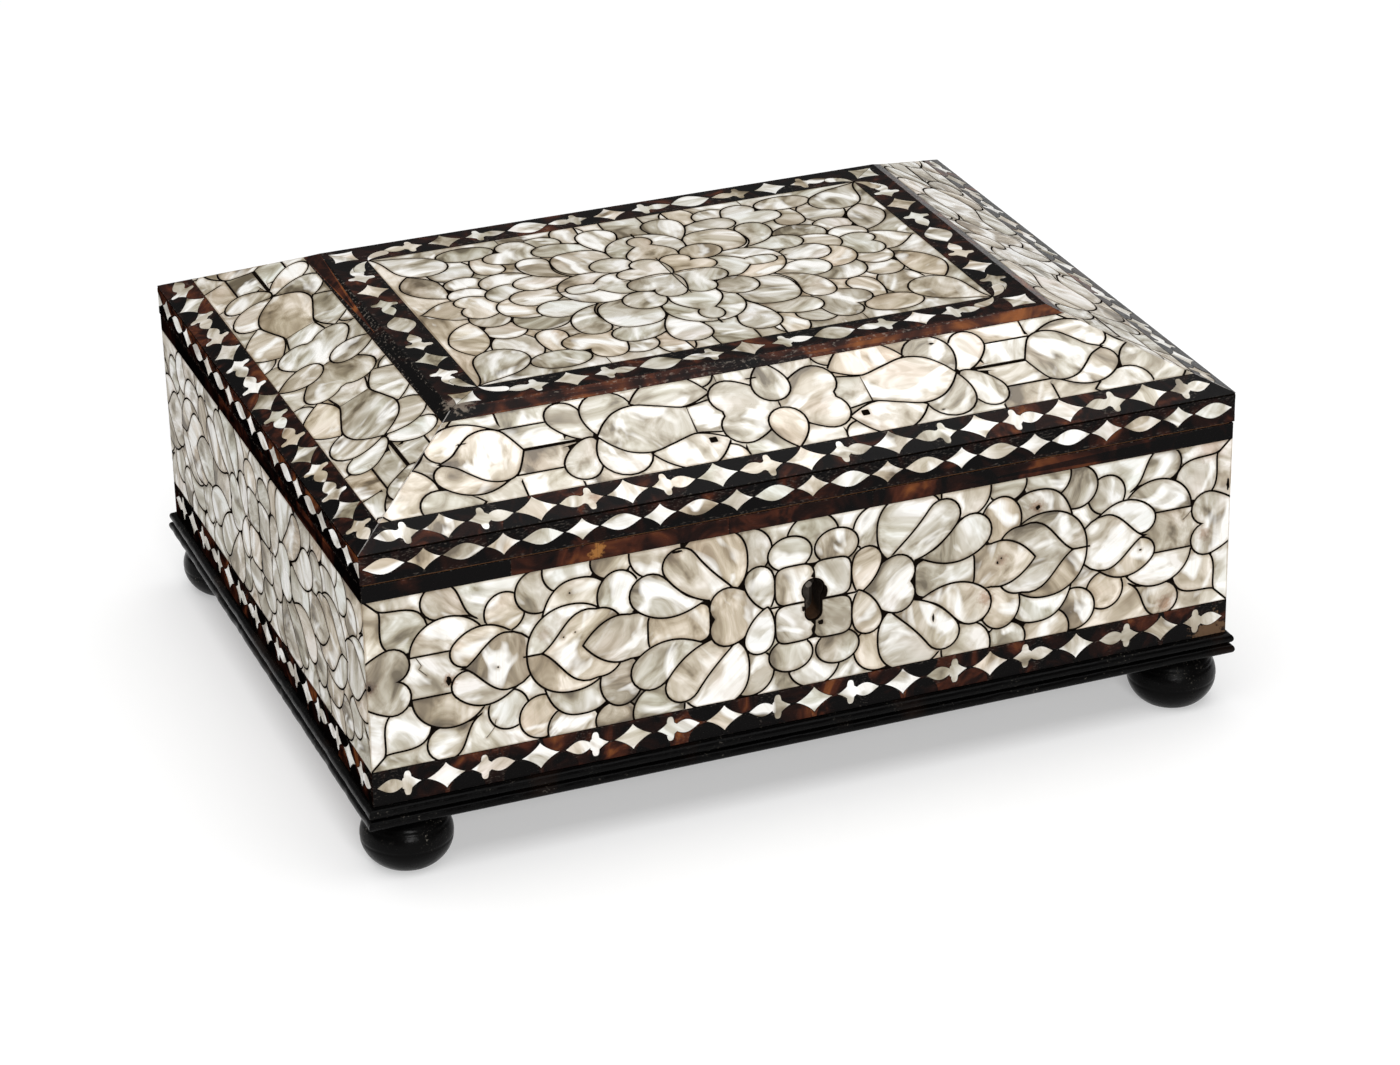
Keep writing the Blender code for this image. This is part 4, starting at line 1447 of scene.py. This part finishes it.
def turned_foot(label):
    """A bun turned on a lathe, with fine tool lines round its shoulder and its widest part."""
    node = f"bun_foot_{label}"
    low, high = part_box(node)
    centre = (low + high) / 2
    radius, height = (high.x - low.x) / 2, high.z - low.z
    reach = math.acos(FOOT_SEAT)
    half_span = height / 2 / math.sin(reach)
    rings = []
    for i in range(FOOT_RINGS + 1):
        angle = reach - 2 * reach * i / FOOT_RINGS
        drop = sum(math.exp(-(((angle - line) / TOOL_LINE_WIDTH) ** 2)) for line in TOOL_LINES)
        ring_radius = (radius - drop * TOOL_LINE_DEPTH) * math.cos(angle)
        rings.append((ring_radius, centre.z + half_span * math.sin(angle)))
    points = []
    for ring_radius, level in rings:
        for i in range(FOOT_SIDES):
            angle = 2 * math.pi * i / FOOT_SIDES
            x = centre.x + ring_radius * math.cos(angle)
            points.append((x, centre.y + ring_radius * math.sin(angle), level))
    faces = [list(range(FOOT_SIDES)), list(range(FOOT_RINGS * FOOT_SIDES, len(points)))[::-1]]
    for ring in range(FOOT_RINGS):
        for i in range(FOOT_SIDES):
            upper = ring * FOOT_SIDES
            following = (i + 1) % FOOT_SIDES
            lower = upper + FOOT_SIDES
            faces.append([upper + i, lower + i, lower + following, upper + following])
    place_ebony(f"foot_{label}", points, faces, node)


def reeded_section(outward, low, high):
    """Two reeds, one above the other, with narrow fillets, as (distance from the wall, level)."""
    radius = (high - low - 3 * REED_FILLET) / 4
    upper_outward = outward - REED_SETBACK
    lower_foot, upper_foot = low + REED_FILLET, high - REED_FILLET - 2 * radius
    points = [(-VENEER_DEPTH * MM, low)]
    upper_joint = upper_foot - REED_FILLET / 2
    for reach, foot, joint in ((outward, lower_foot, low), (upper_outward, upper_foot, upper_joint)):
        points.append((reach - radius, joint))
        for i in range(REED_STEPS + 1):
            angle = -math.pi / 2 + math.pi * i / REED_STEPS
            distance = reach - radius + radius * math.cos(angle)
            points.append((distance, foot + radius + radius * math.sin(angle)))
    points.append((upper_outward - radius, high))
    points.append((-VENEER_DEPTH * MM, high))
    return points


def moulding(side):
    """One mitred length of the reeded base moulding, its reeds a little uneven from use."""
    low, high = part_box("base_moulding_front")
    projection = -low.y - CASE_Y
    profile = reeded_section(projection, low.z, high.z)
    half, away = (CASE_X, CASE_Y) if side in LONG_SIDES else (CASE_Y, CASE_X)
    steps = round(2 * half / MOULDING_STEP)
    quarter_turns = SIDES[side] // 90
    rng = random.Random(quarter_turns + MOULDING_SEED)
    dents = []
    for _ in range(MOULDING_DENTS):
        dents.append((rng.uniform(-half, half), rng.uniform(0.001, 0.005), rng.uniform(0.1, 0.4) * MM))
    points, faces = [], []
    for i in range(steps + 1):
        share = -1 + 2 * i / steps
        wear = sum(depth * math.exp(-(((share * half - x) / width) ** 2)) for x, width, depth in dents)
        wear = min(wear, DEEPEST_WEAR)
        for outward, level in profile:
            crest = max(0.0, outward / projection)
            x, y = share * (half + outward), -(away + outward - wear * crest ** 4)
            for _ in range(quarter_turns):
                x, y = -y, x
            points.append((x, y, level))
    count = len(profile)
    for i in range(steps):
        for j in range(count):
            following = (j + 1) % count
            a, b = i * count + j, i * count + following
            faces.append([a, a + count, b + count, b])
    faces.append(list(range(count)))
    faces.append(list(range(steps * count, (steps + 1) * count))[::-1])
    place_ebony(f"moulding_{side}", points, faces, f"base_moulding_{side}")


def build_base():
    for label in ("front_left", "front_right", "back_left", "back_right"):
        turned_foot(label)
    for side in SIDES:
        moulding(side)


def finish_solids():
    """Gives the boards and the ironwork, which stay in view, their materials."""
    for name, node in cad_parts.items():
        if name.startswith(("case_wall", "case_floor", "lid_rail", "lid_top_board")):
            material = CEDAR_CROSSWAYS if name.endswith(("left", "right")) else CEDAR
        elif name.startswith(("hinge", "lock")):
            material = IRON
        else:
            continue
        node.data.materials.clear()
        node.data.materials.append(material)


# Floor, light and camera

# The floor's size, grey and glow, the surround's strength, and the lights: name, place, size, power
FLOOR_SIZE = 12.0
FLOOR_GREY = 0.60
FLOOR_GLOW = 0.36
WORLD_LIGHT = 0.22
LIGHT_TARGET = Vector((0, 0, 0.10))
LIGHTS = [
    ("overhead_light", Vector((0, 0.1, 3.4)), 5.0, 164),
    ("key_light", Vector((-0.45, -2.6, 1.25)), 0.9, 37),
]


def build_stage():
    """A white floor that gives off some light itself, and an even white surround."""
    bpy.ops.mesh.primitive_plane_add(size=FLOOR_SIZE, location=(0, 0, 0))
    floor = bpy.context.object
    floor.name = "floor"
    n = Nodes("studio_floor")
    material = n.finish(
        Base_Color=(FLOOR_GREY, FLOOR_GREY, FLOOR_GREY, 1.0),
        Emission_Color=(1.0, 1.0, 1.0, 1.0),
        Emission_Strength=FLOOR_GLOW,
        Roughness=0.9,
    )
    floor.data.materials.append(material)
    world = bpy.data.worlds.new("studio")
    bpy.context.scene.world = world
    world.use_nodes = True
    background = world.node_tree.nodes["Background"]
    background.inputs["Color"].default_value = (1.0, 1.0, 1.0, 1.0)
    background.inputs["Strength"].default_value = WORLD_LIGHT
    bpy.context.scene.view_settings.view_transform = "Standard"
    bpy.context.scene.view_settings.look = "None"


def build_lights():
    for name, place, size, power in LIGHTS:
        data = bpy.data.lights.new(name, "AREA")
        data.shape = "RECTANGLE"
        data.size = data.size_y = size
        data.energy = power
        light = bpy.data.objects.new(name, data)
        bpy.context.scene.collection.objects.link(light)
        light.location = place
        light.rotation_euler = (LIGHT_TARGET - place).to_track_quat("-Z", "Y").to_euler()


# Camera, from the perspective of the box's corners: angles, metres, and millimetres of focal length
CAMERA_AZIMUTH = math.radians(-21.032)
CAMERA_ELEVATION = math.radians(25.813)
CAMERA_ROLL = math.radians(-1.234)
CAMERA_DISTANCE = 2.086
CAMERA_TARGET = Vector((0.0096, 0.0, 0.05665))
CAMERA_LENS = 107.92


def build_camera():
    reach = math.cos(CAMERA_ELEVATION)
    away_x, away_y = math.sin(CAMERA_AZIMUTH) * reach, -math.cos(CAMERA_AZIMUTH) * reach
    back = Vector((away_x, away_y, math.sin(CAMERA_ELEVATION)))
    level = Vector((0, 0, 1)).cross(back).normalized()
    upright = back.cross(level)
    right = level * math.cos(CAMERA_ROLL) + upright * math.sin(CAMERA_ROLL)
    up = upright * math.cos(CAMERA_ROLL) - level * math.sin(CAMERA_ROLL)
    data = bpy.data.cameras.new("camera")
    data.lens = CAMERA_LENS
    data.sensor_width = 36.0
    camera = bpy.data.objects.new("camera", data)
    bpy.context.scene.collection.objects.link(camera)
    rotation = Matrix((right, up, back)).transposed().to_4x4()
    camera.matrix_world = Matrix.Translation(CAMERA_TARGET + back * CAMERA_DISTANCE) @ rotation
    bpy.context.scene.camera = camera


build_camera()
build_stage()
build_lights()
build_pearl()
build_bands()
build_top_border()
build_strips()
build_base()
finish_solids()
